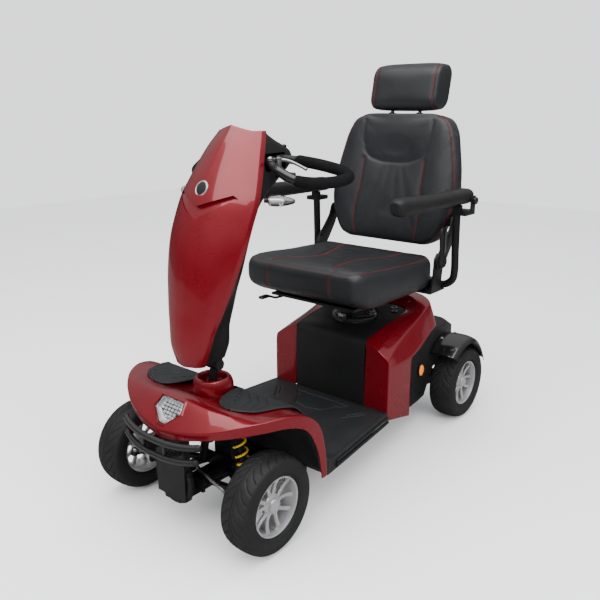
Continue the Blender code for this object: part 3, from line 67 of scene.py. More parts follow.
def look(name, colour, rough, metal=0.0, vary=0.12, grain=0.0, scale=700, cells=False, dents=0.0,
         coat=0.0, coat_rough=0.04, dust=0.0, wear=0.0, transmission=0.0, specular=0.5):
    """A procedural material in object space: varied colour and gloss, fine grain, dust and edge wear."""
    made = bpy.data.materials.new(name)
    made.use_nodes = True
    nodes, links = made.node_tree.nodes, made.node_tree.links
    shader = tuned(nodes["Principled BSDF"], {
        "Metallic": metal, "Specular IOR Level": specular, "Coat Weight": coat, "Coat Roughness": coat_rough,
        "Transmission Weight": transmission})
    where = nodes.new("ShaderNodeTexCoord").outputs["Object"]

    def linked(kind, source, socket, numbers):
        node = tuned(nodes.new(kind), numbers)
        links.new(source, node.inputs[socket])
        return node

    def noise(size, detail=3.0):
        """Noise with size blotches to a metre."""
        return linked("ShaderNodeTexNoise", where, "Vector", {"Scale": size, "Detail": detail}).outputs["Fac"]

    def spread(value, low, high, start=0.3, stop=0.7):
        limits = {"From Min": start, "From Max": stop, "To Min": low, "To Max": high}
        return linked("ShaderNodeMapRange", value, "Value", limits).outputs["Result"]

    def mixed(factor, first, second):
        node = nodes.new("ShaderNodeMix")
        node.data_type = "RGBA"
        links.new(factor, node.inputs[0])
        for socket, value in ((node.inputs[6], first), (node.inputs[7], second)):
            if isinstance(value, tuple):
                socket.default_value = (*value, 1)
            else:
                links.new(value, socket)
        return node.outputs[2]

    def scaled(share):
        return tuple(min(1.0, channel * share) for channel in colour)

    # patches about 20 cm across, with finer mottling over them
    colours = mixed(spread(noise(5), 0, 1), scaled(1 - vary), scaled(1 + vary))
    colours = mixed(spread(noise(60, 2), 0, 0.35), colours, scaled(1 - 1.6 * vary))
    if dust:
        dust_colour = (0.30, 0.28, 0.25)
        colours = mixed(spread(noise(14, 6), 0, dust, 0.45, 0.8), colours, dust_colour)
    if wear:
        edge = nodes.new("ShaderNodeNewGeometry").outputs["Pointiness"]
        colours = mixed(spread(edge, 0, wear, 0.52, 0.60), colours, scaled(2.4))
    links.new(colours, shader.inputs["Base Color"])
    links.new(spread(noise(18, 6), rough * 0.82, rough * 1.2), shader.inputs["Roughness"])
    if grain or dents:
        height = noise(scale, 2)
        if cells:
            pores = linked("ShaderNodeTexVoronoi", where, "Vector", {"Scale": scale})
            pores.feature = "DISTANCE_TO_EDGE"
            height = spread(pores.outputs["Distance"], 0, 1, 0.0, 0.35)
        fine = linked("ShaderNodeBump", height, "Height", {"Strength": grain, "Distance": 0.0006})
        if dents:
            broad = linked("ShaderNodeBump", noise(34, 4), "Height", {"Strength": dents, "Distance": 0.004})
            links.new(broad.outputs["Normal"], fine.inputs["Normal"])
        links.new(fine.outputs["Normal"], shader.inputs["Normal"])
    return made


FINISHES = {    # colour, roughness and the rest of look()'s settings
    "red_paint": dict(colour=(0.165, 0.0004, 0.0065), rough=0.30, metal=0.55, vary=0.05, coat=0.8,
                      coat_rough=0.03),
    "black_gloss": dict(colour=(0.006, 0.006, 0.0065), rough=0.20, vary=0.2, grain=0.02, scale=500, coat=0.5),
    "black_satin": dict(colour=(0.0075, 0.0076, 0.0080), rough=0.44, vary=0.15, grain=0.22, scale=1500,
                        wear=0.25, dust=0.006, specular=0.30),
    "black_steel": dict(colour=(0.006, 0.006, 0.0065), rough=0.36, metal=0.2, vary=0.2, grain=0.12, scale=900,
                        dust=0.01, wear=0.4, specular=0.35),
    "zinc_steel": dict(colour=(0.36, 0.36, 0.37), rough=0.26, metal=1.0, vary=0.10, grain=0.08, scale=800,
                       wear=0.2),
    "alloy": dict(colour=(0.50, 0.50, 0.51), rough=0.30, metal=0.75, vary=0.06, grain=0.05, scale=1400,
                  coat=0.4, coat_rough=0.12, dust=0.04),
    "tyre": dict(colour=(0.0095, 0.0096, 0.0100), rough=0.58, vary=0.18, grain=0.25, scale=1300, dust=0.01,
                 wear=0.3, specular=0.25),
    "grip_foam": dict(colour=(0.0045, 0.0045, 0.005), rough=0.85, vary=0.15, grain=0.8, scale=1500,
                      cells=True, specular=0.15),
    "mat_rubber": dict(colour=(0.0130, 0.0142, 0.0150), rough=0.52, vary=0.14, grain=0.35, scale=1100,
                       dust=0.01, wear=0.35, specular=0.30),
    "leather": dict(colour=(0.0100, 0.0106, 0.0122), rough=0.38, vary=0.14, grain=0.22, scale=520, cells=True,
                    dents=0.04, specular=0.48),
    "yellow_paint": dict(colour=(0.62, 0.40, 0.004), rough=0.30, vary=0.08, grain=0.04, scale=700, coat=0.6,
                         dust=0.04),
    "amber_lens": dict(colour=(0.80, 0.20, 0.006), rough=0.16, vary=0.10, grain=0.10, scale=300, cells=True,
                       coat=0.8),
    "clear_lens": dict(colour=(0.97, 0.97, 0.99), rough=0.03, vary=0.01, grain=0.05, scale=160, cells=True,
                       transmission=1.0, coat=0.3),
    "red_lens": dict(colour=(0.60, 0.010, 0.012), rough=0.14, vary=0.08, grain=0.12, scale=280, cells=True,
                     coat=0.8),
}
LOOKS = {name: look(name, **finish) for name, finish in FINISHES.items()}
THREAD = look("stitch_thread", (0.20, 0.004, 0.007), 0.6, vary=0.2, grain=0.4, scale=2500)
CHROME = look("bright_reflector", (0.86, 0.87, 0.88), 0.16, metal=0.35, vary=0.04, grain=0.05, scale=240)


# ------------------------------------------------------------------ curves and grids
def spline(points, steps, closed=False):
    """Centripetal Catmull-Rom curve through the points, with steps points for each span."""
    p = np.asarray(points, float)
    if len(p) == 2 and not closed:
        return p[0] + (p[1] - p[0]) * np.linspace(0, 1, steps + 1)[:, None]
    if closed:
        p = np.concatenate([p[-1:], p, p[:2]])
    else:
        p = np.concatenate([2 * p[:1] - p[1:2], p, 2 * p[-1:] - p[-2:-1]])
    out = []
    for a, b, c, d in zip(p, p[1:], p[2:], p[3:]):
        gaps = [max(np.linalg.norm(v), 1e-7) ** 0.5 for v in (b - a, c - b, d - c)]
        t0, t1 = 0.0, gaps[0]
        t2 = t1 + gaps[1]
        t3 = t2 + gaps[2]
        t = np.linspace(t1, t2, steps, endpoint=False)[:, None]
        first = (t1 - t) / (t1 - t0) * a + (t - t0) / (t1 - t0) * b
        second = (t2 - t) / (t2 - t1) * b + (t - t1) / (t2 - t1) * c
        third = (t3 - t) / (t3 - t2) * c + (t - t2) / (t3 - t2) * d
        left = (t2 - t) / (t2 - t0) * first + (t - t0) / (t2 - t0) * second
        right = (t3 - t) / (t3 - t1) * second + (t - t1) / (t3 - t1) * third
        out.append((t2 - t) / (t2 - t1) * left + (t - t1) / (t2 - t1) * right)
    if not closed:
        out.append(p[-2:-1])
    return np.concatenate(out)


def creased(points, steps, breaks=()):
    """A spline that turns sharply at the points whose indexes are in breaks."""
    cuts = [0, *breaks, len(points) - 1]
    parts = [spline(points[a:b + 1], steps) for a, b in zip(cuts, cuts[1:])]
    return np.concatenate([part[:-1] for part in parts] + [parts[-1][-1:]])


def eased(row, corners):
    """The row with each corner, {index: radius}, opened into three points that round it."""
    out = []
    for k, point in enumerate(row):
        if k not in corners or k in (0, len(row) - 1):
            out.append(point)
            continue
        ends = []
        for other in (row[k - 1], row[k + 1]):
            step = other - point
            ends.append(point + step * min(0.45, corners[k] / np.linalg.norm(step)))
        out += [ends[0], point * 0.5 + (ends[0] + ends[1]) * 0.25, ends[1]]
    return out


def refined(rows, along, across, corners=(), ridges=()):
    """A fine grid through a coarse one.

    corners are the eased columns, {index: radius}, and ridges the sharp rows.
    """
    grid = np.array([spline(eased(np.asarray(row, float), dict(corners)), across) for row in rows])
    return np.stack([creased(grid[:, j], along, ridges) for j in range(grid.shape[1])], axis=1)


def quads(rows, columns, wrap_rows=False, wrap_columns=False, start=0):
    """The faces of a grid of points."""
    faces = []
    for i in range(rows if wrap_rows else rows - 1):
        for j in range(columns if wrap_columns else columns - 1):
            k, m = (i + 1) % rows, (j + 1) % columns
            faces.append((start + i * columns + j, start + i * columns + m, start + k * columns + m,
                          start + k * columns + j))
    return faces


def circle(turn, u, v):
    """Unit vectors at the angles of turn, in the plane of u and v."""
    return np.cos(turn)[:, None] * u + np.sin(turn)[:, None] * v


class Shape:
    """Collects points and faces, then becomes one mesh."""

    def __init__(self):
        self.points, self.faces, self.count = [], [], 0

    def add(self, points, faces):
        points = np.asarray(points, float).reshape(-1, 3)
        self.faces += [tuple(self.count + k for k in face) for face in faces]
        self.points.append(points)
        self.count += len(points)
        return self

    def grid(self, grid, wrap_rows=False, wrap_columns=False):
        grid = np.asarray(grid, float)
        return self.add(grid, quads(grid.shape[0], grid.shape[1], wrap_rows, wrap_columns))

    def rings(self, rings):
        """A closed solid through rings of equal count, with flat ends."""
        rings = np.asarray(rings, float)
        rows, columns = rings.shape[:2]
        faces = quads(rows, columns, wrap_columns=True)
        faces.append(tuple(range(columns))[::-1])
        faces.append(tuple((rows - 1) * columns + k for k in range(columns)))
        return self.add(rings, faces)

    def tube(self, route, radius, sides=16, closed=False, round_end=0.35):
        """A round tube; radius is one number or one for each point of the route. Its ends are eased."""
        route = np.asarray(route, float)
        radii = np.broadcast_to(np.asarray(radius, float), (len(route),))
        flow = np.roll(route, -1, 0) - np.roll(route, 1, 0) if closed else np.gradient(route, axis=0)
        flow /= np.linalg.norm(flow, axis=1)[:, None]
        side = np.cross(flow[0], (0.31, 0.87, 0.39))    # square to the route and to a skew direction
        turn = 2 * np.pi * np.arange(sides) / sides
        frames = []
        for direction in flow:
            side = side - direction * (side @ direction)
            side /= np.linalg.norm(side)
            frames.append((side.copy(), np.cross(direction, side)))
        if closed:
            # the last frame is turned against the first, so the turn is shared out along the route
            twist = math.atan2(frames[-1][0] @ frames[0][1], frames[-1][0] @ frames[0][0])
            rings = [point + r * circle(turn - twist * k / len(route), u, v)
                     for k, (point, (u, v), r) in enumerate(zip(route, frames, radii))]
            return self.grid(rings, wrap_rows=True, wrap_columns=True)
        rings = [point + r * circle(turn, u, v) for point, (u, v), r in zip(route, frames, radii)]
        for end, step in ((0, -1), (-1, 1)):
            (u, v), r = frames[end], radii[end]
            cap = [route[end] + flow[end] * step * out * r * round_end + r * share * circle(turn, u, v)
                   for share, out in ((0.92, 0.55), (0.72, 0.9), (0.45, 1.0))]
            rings = rings + cap if step == 1 else cap[::-1] + rings
        return self.rings(rings)

    def turned(self, profile, centre, axis, steps=48, closed=False):
        """A profile of (radius, height) turned about the axis through centre."""
        axis = np.asarray(axis, float) / np.linalg.norm(axis)
        u = np.cross(axis, (0.0, 0.0, 1.0) if abs(axis[2]) < 0.9 else (1.0, 0.0, 0.0))
        u /= np.linalg.norm(u)
        ring = circle(2 * np.pi * np.arange(steps) / steps, u, np.cross(axis, u))
        rows = [np.asarray(centre, float) + axis * h + max(r, 1e-5) * ring for r, h in profile]
        return self.grid(rows, wrap_rows=True, wrap_columns=True) if closed else self.rings(rows)

    def block(self, low, high, bevel=0.0015):
        """A block with rounded edges between two corners."""
        bm = bmesh.new()
        bmesh.ops.create_cube(bm, size=1)
        low, high = np.asarray(low, float), np.asarray(high, float)
        bmesh.ops.scale(bm, vec=tuple(high - low), verts=bm.verts)
        bmesh.ops.bevel(bm, geom=list(bm.edges), offset=bevel, segments=3, affect="EDGES", profile=0.5)
        bmesh.ops.translate(bm, vec=tuple((low + high) / 2), verts=bm.verts)
        return self.take(bm)

    def side_block(self, side, low, high, bevel=0.0015):
        """A block between two corners given for the left, put on the side."""
        ends = sided((low, high), side)
        return self.block(ends.min(axis=0), ends.max(axis=0), bevel)

    def slab(self, outline, low, high, bevel, matrix):
        """A flat outline of (a, b) points, extruded from low to high along its normal, with rounded edges."""
        bm = bmesh.new()
        bottom = [bm.verts.new((a, b, low)) for a, b in outline]
        top = [bm.verts.new((a, b, high)) for a, b in outline]
        bm.faces.new(bottom[::-1])
        bm.faces.new(top)
        for k in range(len(outline)):
            m = (k + 1) % len(outline)
            bm.faces.new((bottom[k], bottom[m], top[m], top[k]))
        bmesh.ops.recalc_face_normals(bm, faces=bm.faces)
        sharp = [e for e in bm.edges if e.calc_face_angle(0) > 0.9]
        bmesh.ops.bevel(bm, geom=sharp, offset=bevel, segments=2, affect="EDGES", profile=0.5)
        bmesh.ops.transform(bm, matrix=matrix, verts=bm.verts)
        return self.take(bm)

    def take(self, bm):
        """Adds a bmesh and frees it."""
        bm.verts.index_update()
        points = [tuple(v.co) for v in bm.verts]
        faces = [tuple(v.index for v in f.verts) for f in bm.faces]
        bm.free()
        return self.add(points, faces)

    def bolt(self, at, axis, size=0.006):
        """A hexagon head on its washer, standing on the surface at a point."""
        at, axis = np.asarray(at, float), np.asarray(axis, float) / np.linalg.norm(axis)
        self.turned([(0, -0.001), (size * 1.25, -0.001), (size * 1.25, 0.0008), (0, 0.0008)], at, axis, 20)
        self.turned([(0, 0), (size, 0), (size, size * 0.62), (size * 0.84, size * 0.78), (0, size * 0.78)],
                    at, axis, 6)
        return self

    def mesh(self, name):
        made = bpy.data.meshes.new(name)
        made.from_pydata(np.concatenate(self.points).tolist(), [], self.faces)
        bm = bmesh.new()
        bm.from_mesh(made)
        bmesh.ops.remove_doubles(bm, verts=bm.verts, dist=0.00002)
        bmesh.ops.recalc_face_normals(bm, faces=bm.faces)
        bm.to_mesh(made)
        bm.free()
        return made


def piece(name, mesh, body, slot, stands_for=(), material=None, smooth=32, at=None):
    """One visible piece, riding on a body with the finish of a slot."""
    if isinstance(mesh, Shape):
        mesh = mesh.mesh(name)
    mesh.name = name
    mesh.shade_smooth()
    mesh.set_sharp_from_angle(angle=math.radians(smooth))
    mesh.materials.clear()
    mesh.materials.append(material or LOOKS[slot])
    obj = bpy.data.objects.new(name, mesh)
    bpy.context.scene.collection.objects.link(obj)
    if at is not None:
        obj.matrix_world = at
    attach(obj, body)
    if stands_for:
        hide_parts(*stands_for)
    return obj


def temporary(mesh):
    """A working object, for modifiers."""
    obj = bpy.data.objects.new("working", mesh)
    bpy.context.scene.collection.objects.link(obj)
    return obj


def applied(obj):
    """The object's mesh with its modifiers applied; the object goes."""
    graph = bpy.context.evaluated_depsgraph_get()
    made = bpy.data.meshes.new_from_object(obj.evaluated_get(graph))
    bpy.data.objects.remove(obj, do_unlink=True)
    return made


def less(mesh, *cutters):
    """The mesh with the cutter shapes taken away."""
    obj = temporary(mesh)
    tools = []
    for cutter in cutters:
        tool = temporary(cutter.mesh("cutter"))
        tools.append(tool)
        cut = obj.modifiers.new("cut", "BOOLEAN")
        cut.operation, cut.solver, cut.object = "DIFFERENCE", "EXACT", tool
    made = applied(obj)
    for tool in tools:
        bpy.data.objects.remove(tool, do_unlink=True)
    return made


def shelled(grids, wall=SHELL, mirror=True, outward=(0, 0, 1), bevel=0.0008):
    """A moulded cover: open grids given a wall on their inner side, with eased rims."""
    shape = Shape()
    for grid in grids:
        shape.grid(grid)
    mesh = shape.mesh("shell")
    total = sum((f.normal * f.area).dot(Vector(outward)) for f in mesh.polygons)
    if total < 0:
        mesh.flip_normals()
    obj = temporary(mesh)
    if mirror:
        flip = obj.modifiers.new("mirror", "MIRROR")
        flip.use_axis = (False, True, False)
        flip.use_clip = True
        flip.merge_threshold = 0.0001
    solid = obj.modifiers.new("wall", "SOLIDIFY")
    solid.thickness, solid.offset, solid.use_even_offset = wall, -1, True
    ease = obj.modifiers.new("ease", "BEVEL")
    ease.width, ease.segments, ease.limit_method, ease.angle_limit = bevel, 2, "ANGLE", math.radians(60)
    return applied(obj)


def sided(points, side):
    """Mirror left-hand points to the side, 1 left or -1 right."""
    return np.asarray(points, float) * (1, side, 1)


# ------------------------------------------------------------------ front cowl, headlight and collar
CASTER = math.radians(12)
STEER_UP = np.array((-math.sin(CASTER), 0, math.cos(CASTER)))
COLLAR = np.array((0.447, 0, 0.3453))
COLLAR_R = 0.056
# round the cowl from the nose to the foot of its rear leg: edge crease, and bottom of the lip
COWL_EDGE = [
    ((0.640, 0.000, 0.300), (0.636, 0.000, 0.278)), ((0.633, 0.075, 0.312), (0.630, 0.075, 0.290)),
    ((0.610, 0.152, 0.326), (0.606, 0.151, 0.305)), ((0.575, 0.213, 0.345), (0.570, 0.211, 0.317)),
    ((0.530, 0.260, 0.357), (0.525, 0.258, 0.327)), ((0.479, 0.288, 0.361), (0.473, 0.287, 0.329)),
    ((0.425, 0.300, 0.350), (0.428, 0.299, 0.315)), ((0.387, 0.303, 0.328), (0.402, 0.301, 0.293)),
    ((0.359, 0.303, 0.295), (0.381, 0.301, 0.260)), ((0.341, 0.303, 0.245), (0.364, 0.301, 0.220)),
    ((0.331, 0.303, 0.190), (0.353, 0.301, 0.175)), ((0.327, 0.303, 0.142), (0.347, 0.301, 0.140)),
]
# inner edge of the leg, from the ninth row on
COWL_LEG = [(0.352, 0.272, 0.302), (0.333, 0.285, 0.247), (0.323, 0.287, 0.192), (0.319, 0.289, 0.143)]
# rays from the collar to the edge: angle, then fraction along and height of two points
COWL_RAYS = [
    (0, 0.35, 0.371, 0.61, 0.3685), (17, 0.36, 0.369, 0.62, 0.3680), (38, 0.40, 0.361, 0.70, 0.3640),
    (56, 0.42, 0.354, 0.78, 0.3610), (71, 0.42, 0.352, 0.80, 0.3585), (85, 0.42, 0.351, 0.80, 0.3585),
    (101, 0.42, 0.350, 0.78, 0.3525), (117, 0.42, 0.345, 0.78, 0.3380),
]
LAMP_FACING = np.array((0.70, 0, 0.60)) / math.hypot(0.70, 0.60)
LAMP_MIDDLE = np.array((0.606, 0, 0.342))
LAMP_CORNERS = [(0.586, 0.040, 0.366), (0.607, 0.048, 0.343), (0.628, 0.012, 0.316)]


def lamp_ring(margin, lift, steps=1):
    """The headlight's six-sided outline, grown by margin and moved along its facing by lift."""
    ring = []
    for side in (1, -1):
        for corner in LAMP_CORNERS[::side]:
            point = sided(corner, side)
            out = (point - LAMP_MIDDLE) / np.linalg.norm(point - LAMP_MIDDLE)
            ring.append(point + out * margin + LAMP_FACING * lift)
    ring = np.array(ring)
    return np.concatenate([a + (b - a) * np.linspace(0, 1, steps, endpoint=False)[:, None]
                           for a, b in zip(ring, np.roll(ring, -1, axis=0))])


def front_cowl():
    rows = []
    for (crease, lip), (angle, t1, z1, t2, z2) in zip(COWL_EDGE, COWL_RAYS):
        crease, a = np.array(crease), math.radians(angle)
        hub = COLLAR + np.array((math.cos(a), math.sin(a) if angle else 0, 0)) * (COLLAR_R - 0.004)
        inner, brow = hub + (crease - hub) * t1, hub + (crease - hub) * t2
        inner[2], brow[2] = z1, z2
        rows.append([hub - (0, 0, 0.0006), inner, brow, crease, np.array(lip)])
    legs = [[np.array(inner), np.array(crease), np.array(lip)]
            for inner, (crease, lip) in zip(COWL_LEG, COWL_EDGE[8:])]
    top = refined(rows, 10, 9, corners={3: 0.0045}, ridges=(2, 3))
    # the part from the brow out runs on down the leg, so it is refined with the leg's rows
    outer = refined([row[2:] for row in rows] + legs, 10, 9, corners={1: 0.0045})
    inner = top[:, :19]
    blend = np.linspace(0, 1, outer.shape[1])[None, :, None] ** 0.5
    fan = top[:, 18:18 + outer.shape[1]]
    outer[:len(fan)] = fan * (1 - blend) + outer[:len(fan)] * blend
    mesh = shelled([inner, outer], outward=(0, 0, 1))
    hole = Shape().rings([lamp_ring(0.0008, -0.030), lamp_ring(0.0008, 0.020)])
    piece("front_cowl_shell", less(mesh, hole), "chassis", "red_paint", ["front_cowl"], smooth=28)

    bezel = Shape()
    section = [(0.0012, -0.010), (0.0012, 0.0018), (0.0026, 0.0034), (0.0060, 0.0030), (0.0105, -0.0005),
               (0.0115, -0.006)]
    bezel.grid([lamp_ring(margin, lift, 6) for margin, lift in section], wrap_rows=True, wrap_columns=True)
    piece("headlight_bezel", bezel, "chassis", "red_paint", smooth=25)

    lens = Shape()
    lens.rings([lamp_ring(0, -0.0030, 4), lamp_ring(0, 0.0006, 4), lamp_ring(-0.0022, 0.0022, 4),
                lamp_ring(-0.016, 0.0034, 4), lamp_ring(-0.030, 0.0038, 4)])
    piece("headlight_glass", lens, "chassis", "clear_lens", ["headlight_lens"], smooth=20)

    walls = [lamp_ring(-0.0015, -0.004, 4), lamp_ring(-0.010, -0.0105, 4), lamp_ring(-0.014, -0.0125, 4)]
    mesh = shelled([[np.concatenate([ring, ring[:1]]) for ring in walls]], wall=0.0012, mirror=False,
                   outward=-LAMP_FACING, bevel=0.0002)
    piece("headlight_housing", mesh, "chassis", "alloy", smooth=10)
    floor_of_lamp = Shape().rings([lamp_ring(-0.012, -0.0150, 4), lamp_ring(-0.012, -0.0118, 4)])
    piece("headlight_back", floor_of_lamp, "chassis", "black_gloss", smooth=10)
    # facets of the reflector, each leaning its own way
    bowl = Shape()
    across = np.array((0, 1.0, 0))
    up = np.cross(LAMP_FACING, across)
    rng = np.random.default_rng(7)
    count, middle, pitch_across, pitch_up, half_width = 6, 2.5, 0.0118, 0.0088, 0.033
    for i in range(count):
        for j in range(count):
            a, b = (i - middle) * pitch_across, (j - middle) * pitch_up
            if abs(a) > half_width - max(0, -b) * 0.8:
                continue
            foot = LAMP_MIDDLE + across * a + up * b - LAMP_FACING * 0.0116
            lean = (across * rng.uniform(-1, 1) + up * rng.uniform(-1, 1)) * 0.0018
            base = [foot + across * 0.0049 * p + up * 0.0037 * q
                    for p, q in ((-1, -1), (1, -1), (1, 1), (-1, 1))]
            tip = foot + LAMP_FACING * 0.0050 + lean
            bowl.add([*base, tip], [(3, 2, 1, 0), (0, 1, 4), (1, 2, 4), (2, 3, 4), (3, 0, 4)])
    piece("headlight_reflector", bowl, "chassis", "clear_lens", material=CHROME, smooth=10)


def steering_collar():
    outer = spline([(0.0545, 0.0), (0.0560, 0.008), (0.0555, 0.020), (0.0525, 0.033), (0.0480, 0.0405),
                    (0.0435, 0.0430)], 5)
    inner = spline([(0.0435, 0.0430), (0.0400, 0.0405), (0.0375, 0.034), (0.0365, 0.015), (0.0370, 0.0)], 4)
    turn = np.linspace(0, 2 * np.pi, 72, endpoint=False)
    rows = []
    for r, h in np.concatenate([outer, inner[1:]]):
        # a shallow wave round the wall grows with its height: fuller at the rear corners, flat at the back
        lobes = (r - 0.036) / 0.020 * (0.015 * np.cos(3 * turn) - 0.012 * np.cos(2 * turn)) * (h / 0.043)
        wide = np.minimum(r * (1 + lobes), COLLAR_R)
        rows.append(COLLAR + np.stack([wide * np.cos(turn), wide * np.sin(turn), np.full(len(turn), h)],
                                      axis=1))
    shape = Shape().grid(rows, wrap_rows=True, wrap_columns=True)
    piece("steering_collar_shell", shape, "chassis", "red_paint", ["steering_collar"], smooth=30)


# ------------------------------------------------------------------ floor
DECK_TOP = 0.151
# x, height and half-width of the mat along the deck and up to the cowl
FLOOR_LINE = [
    (-0.0745, DECK_TOP, 0.2375), (0.09, DECK_TOP, 0.256), (0.245, DECK_TOP, 0.273), (0.283, 0.160, 0.277),
    (0.310, 0.190, 0.277), (0.330, 0.243, 0.276), (0.350, 0.294, 0.262), (0.368, 0.322, 0.258),
    (0.383, 0.338, 0.256),
]
# x, height, outer and inner y of the mat's lobes on the cowl's shoulders
MAT_LOBES = [
    (0.400, 0.3530, 0.248, 0.048), (0.440, 0.3630, 0.236, 0.064), (0.470, 0.3655, 0.226, 0.073),
    (0.500, 0.3665, 0.212, 0.085), (0.518, 0.3660, 0.186, 0.098), (0.530, 0.3645, 0.150, 0.122),
]
# marks pressed into the mat's left half: line of (x, y), half-width, height, negative for a groove
MAT_MARKS = [
    ([(-0.046, 0.0), (-0.046, 0.108), (-0.020, 0.086)], 0.0022, -0.0020),
    ([(-0.020, 0.080), (0.032, 0.055), (0.049, 0.0)], 0.0022, -0.0022),
    ([(-0.020, 0.200), (0.052, 0.150)], 0.0030, 0.0018), ([(-0.028, 0.186), (0.040, 0.138)], 0.0022, -0.0020),
    ([(-0.034, 0.172), (0.014, 0.140)], 0.0022, -0.0020),
    ([(0.040, 0.105), (0.095, 0.200)], 0.0034, 0.0022), ([(0.060, 0.085), (0.128, 0.206)], 0.0034, 0.0022),
    ([(0.080, 0.065), (0.160, 0.212)], 0.0034, 0.0022), ([(0.100, 0.045), (0.190, 0.216)], 0.0034, 0.0022),
    ([(0.120, 0.020), (0.218, 0.205)], 0.0034, 0.0022), ([(0.150, 0.0), (0.236, 0.150)], 0.0034, 0.0022),
    ([(0.185, 0.0), (0.244, 0.095)], 0.0034, 0.0022),
    ([(0.010, 0.226), (0.150, 0.244), (0.240, 0.250)], 0.0030, 0.0016),
    ([(0.412, 0.105), (0.455, 0.150), (0.505, 0.165)], 0.0034, -0.0018),
    ([(0.406, 0.130), (0.445, 0.172), (0.498, 0.184)], 0.0034, -0.0018),
    ([(0.404, 0.158), (0.436, 0.194), (0.480, 0.203)], 0.0034, -0.0018),
]
# x and y of the short slots in the left lobe
MAT_SLOTS = [(0.478, 0.118), (0.458, 0.106), (0.438, 0.094), (0.418, 0.080)]


def stroke_distance(points, line):
    """Distance of each (x, y) point to a polyline."""
    best = np.full(len(points), 1e9)
    for a, b in zip(np.array(line, float), np.array(line[1:], float)):
        run = b - a
        t = np.clip(((points - a) @ run) / (run @ run), 0, 1)
        best = np.minimum(best, np.linalg.norm(points - a - t[:, None] * run, axis=1))
    return best


def pressed(points, marks):
    """Height of the marks at each (x, y) point, with soft shoulders."""
    height = np.zeros(len(points))
    for line, half, rise in marks:
        t = np.clip(1.5 - stroke_distance(points, line) / half, 0, 1)
        bump = 1.4 * rise * t * t * (3 - 2 * t)
        height = np.where(np.abs(bump) > np.abs(height), bump, height)
    return height


def floor_mat():
    lines = [(*line, 0) for line in FLOOR_LINE] + MAT_LOBES
    rows = [[(x, narrow + (wide - narrow) * t, z) for t in (1.0, 0.8, 0.5, 0.2, 0.0)]
            for x, z, wide, narrow in lines]
    grid = refined(rows, 12, 36, ridges=(2,))
    # the long flat spans get more rows, so that the ribs on them are smooth
    dense, row_pitch = [grid[0]], 0.0022
    for before, after in zip(grid, grid[1:]):
        steps = max(1, int(np.linalg.norm(after - before, axis=1).max() / row_pitch))
        dense += [before + (after - before) * k / steps for k in range(1, steps + 1)]
    grid = np.array(dense)
    shape = grid.shape
    flat = grid.reshape(-1, 3)
    height = pressed(flat[:, :2], MAT_MARKS)
    for x, y in MAT_SLOTS:
        slot = [(x - 0.006, y - 0.003), (x + 0.006, y + 0.003)]
        height = np.minimum(height, pressed(flat[:, :2], [(slot, 0.003, -0.0028)]))
    # a soft raised border runs round the mat, and the lobes dip between it
    border = np.clip(1 - np.abs(grid[:, :1, 1] - np.abs(grid[:, :, 1]) - 0.007) / 0.006, 0, 1)
    height = height.reshape(shape[:2]) + 0.0012 * border
    lobes_from, lobes_long = 0.405, 0.125
    lobes = grid[:, :, 0] > lobes_from
    dip = np.sin(np.clip((grid[:, :, 0] - lobes_from) / lobes_long, 0, 1) * np.pi) ** 0.5
    inside = np.sin(np.linspace(0, 1, shape[1]) * np.pi)[None, :] ** 0.6
    height = height - np.where(lobes, 0.0035 * dip * inside, 0)
    grid[:, :, 2] += height - np.where(lobes, 0.0024, 0.0012)
    mesh = shelled([grid], wall=0.0030, outward=(0, 0, 1), bevel=0.0006)
    piece("floor_mat_rubber", mesh, "chassis", "mat_rubber", ["floor_mat"], smooth=40)


def deck_sides():
    """Trim along the deck's sides: two bands, and a pale step strip near the rear corner."""
    for word, side in SIDES:
        shape = Shape()
        for z, thick in ((0.1375, 0.0042), (0.1235, 0.0052)):
            route = spline([(x, wide + 0.0008, z) for x, _, wide in FLOOR_LINE[:3]], 10)
            shape.tube(sided(route, side), thick, 12)
        piece(f"deck_trim_{word}", shape, "chassis", "black_satin")
        strip = spline([(-0.055, 0.2454, 0.1375), (0.0, 0.2518, 0.1375), (0.045, 0.2568, 0.1375)], 8)
        shape = Shape().tube(sided(strip, side), 0.0016, 10)
        piece(f"step_strip_{word}", shape, "chassis", "clear_lens")


def deck_end():
    """Closes the slot between the mat and the battery cover."""
    shape = Shape().block((-0.0782, -0.234, 0.1290), (-0.0736, 0.234, 0.1520), 0.001)
    piece("deck_end_strip", shape, "chassis", "black_satin")


def front_bumper():
    bars, caps = Shape(), Shape()
    # a bar's left end, x and z of its middle, and its radius
    for (end_x, end_y, end_z), (mid_x, mid_z), radius in (((0.633, 0.145, 0.294), (0.6625, 0.284), 0.0088),
                                                          ((0.637, 0.138, 0.254), (0.6630, 0.243), 0.0083)):
        t = np.linspace(-1, 1, 49)
        bow = 1 - np.abs(t) ** 2.4
        route = np.stack([end_x + (mid_x - end_x) * bow, end_y * t, end_z + (mid_z - end_z) * bow], axis=1)
        bars.tube(route[1:-1], radius, 24, round_end=0.1)
        for end, inward in ((route[0], route[1] - route[0]), (route[-1], route[-2] - route[-1])):
            radii = [radius * 0.9, radius + 0.0004, radius + 0.0004, radius * 0.98]
            caps.tube([end + inward * t for t in (0.0, 0.5, 1.1, 1.6)], radii, 20, round_end=0.5)
    for _, side in SIDES:
        bars.side_block(side, (0.652, 0.0365, 0.240), (0.6625, 0.0455, 0.288), 0.002)
        bars.side_block(side, (0.6103, 0.036, 0.230), (0.655, 0.046, 0.264), 0.002)
        for x in (0.640, 0.622):
            bars.bolt((x, side * 0.046, 0.247), (0, side, 0), 0.0048)
    piece("front_bumper_bars", bars, "chassis", "black_gloss", ["front_bumper"])
    piece("front_bumper_caps", caps, "chassis", "black_satin")


# ------------------------------------------------------------------ seat box and rear
COVER_Y = 0.1403
COVER_FRONT_X = -0.0785
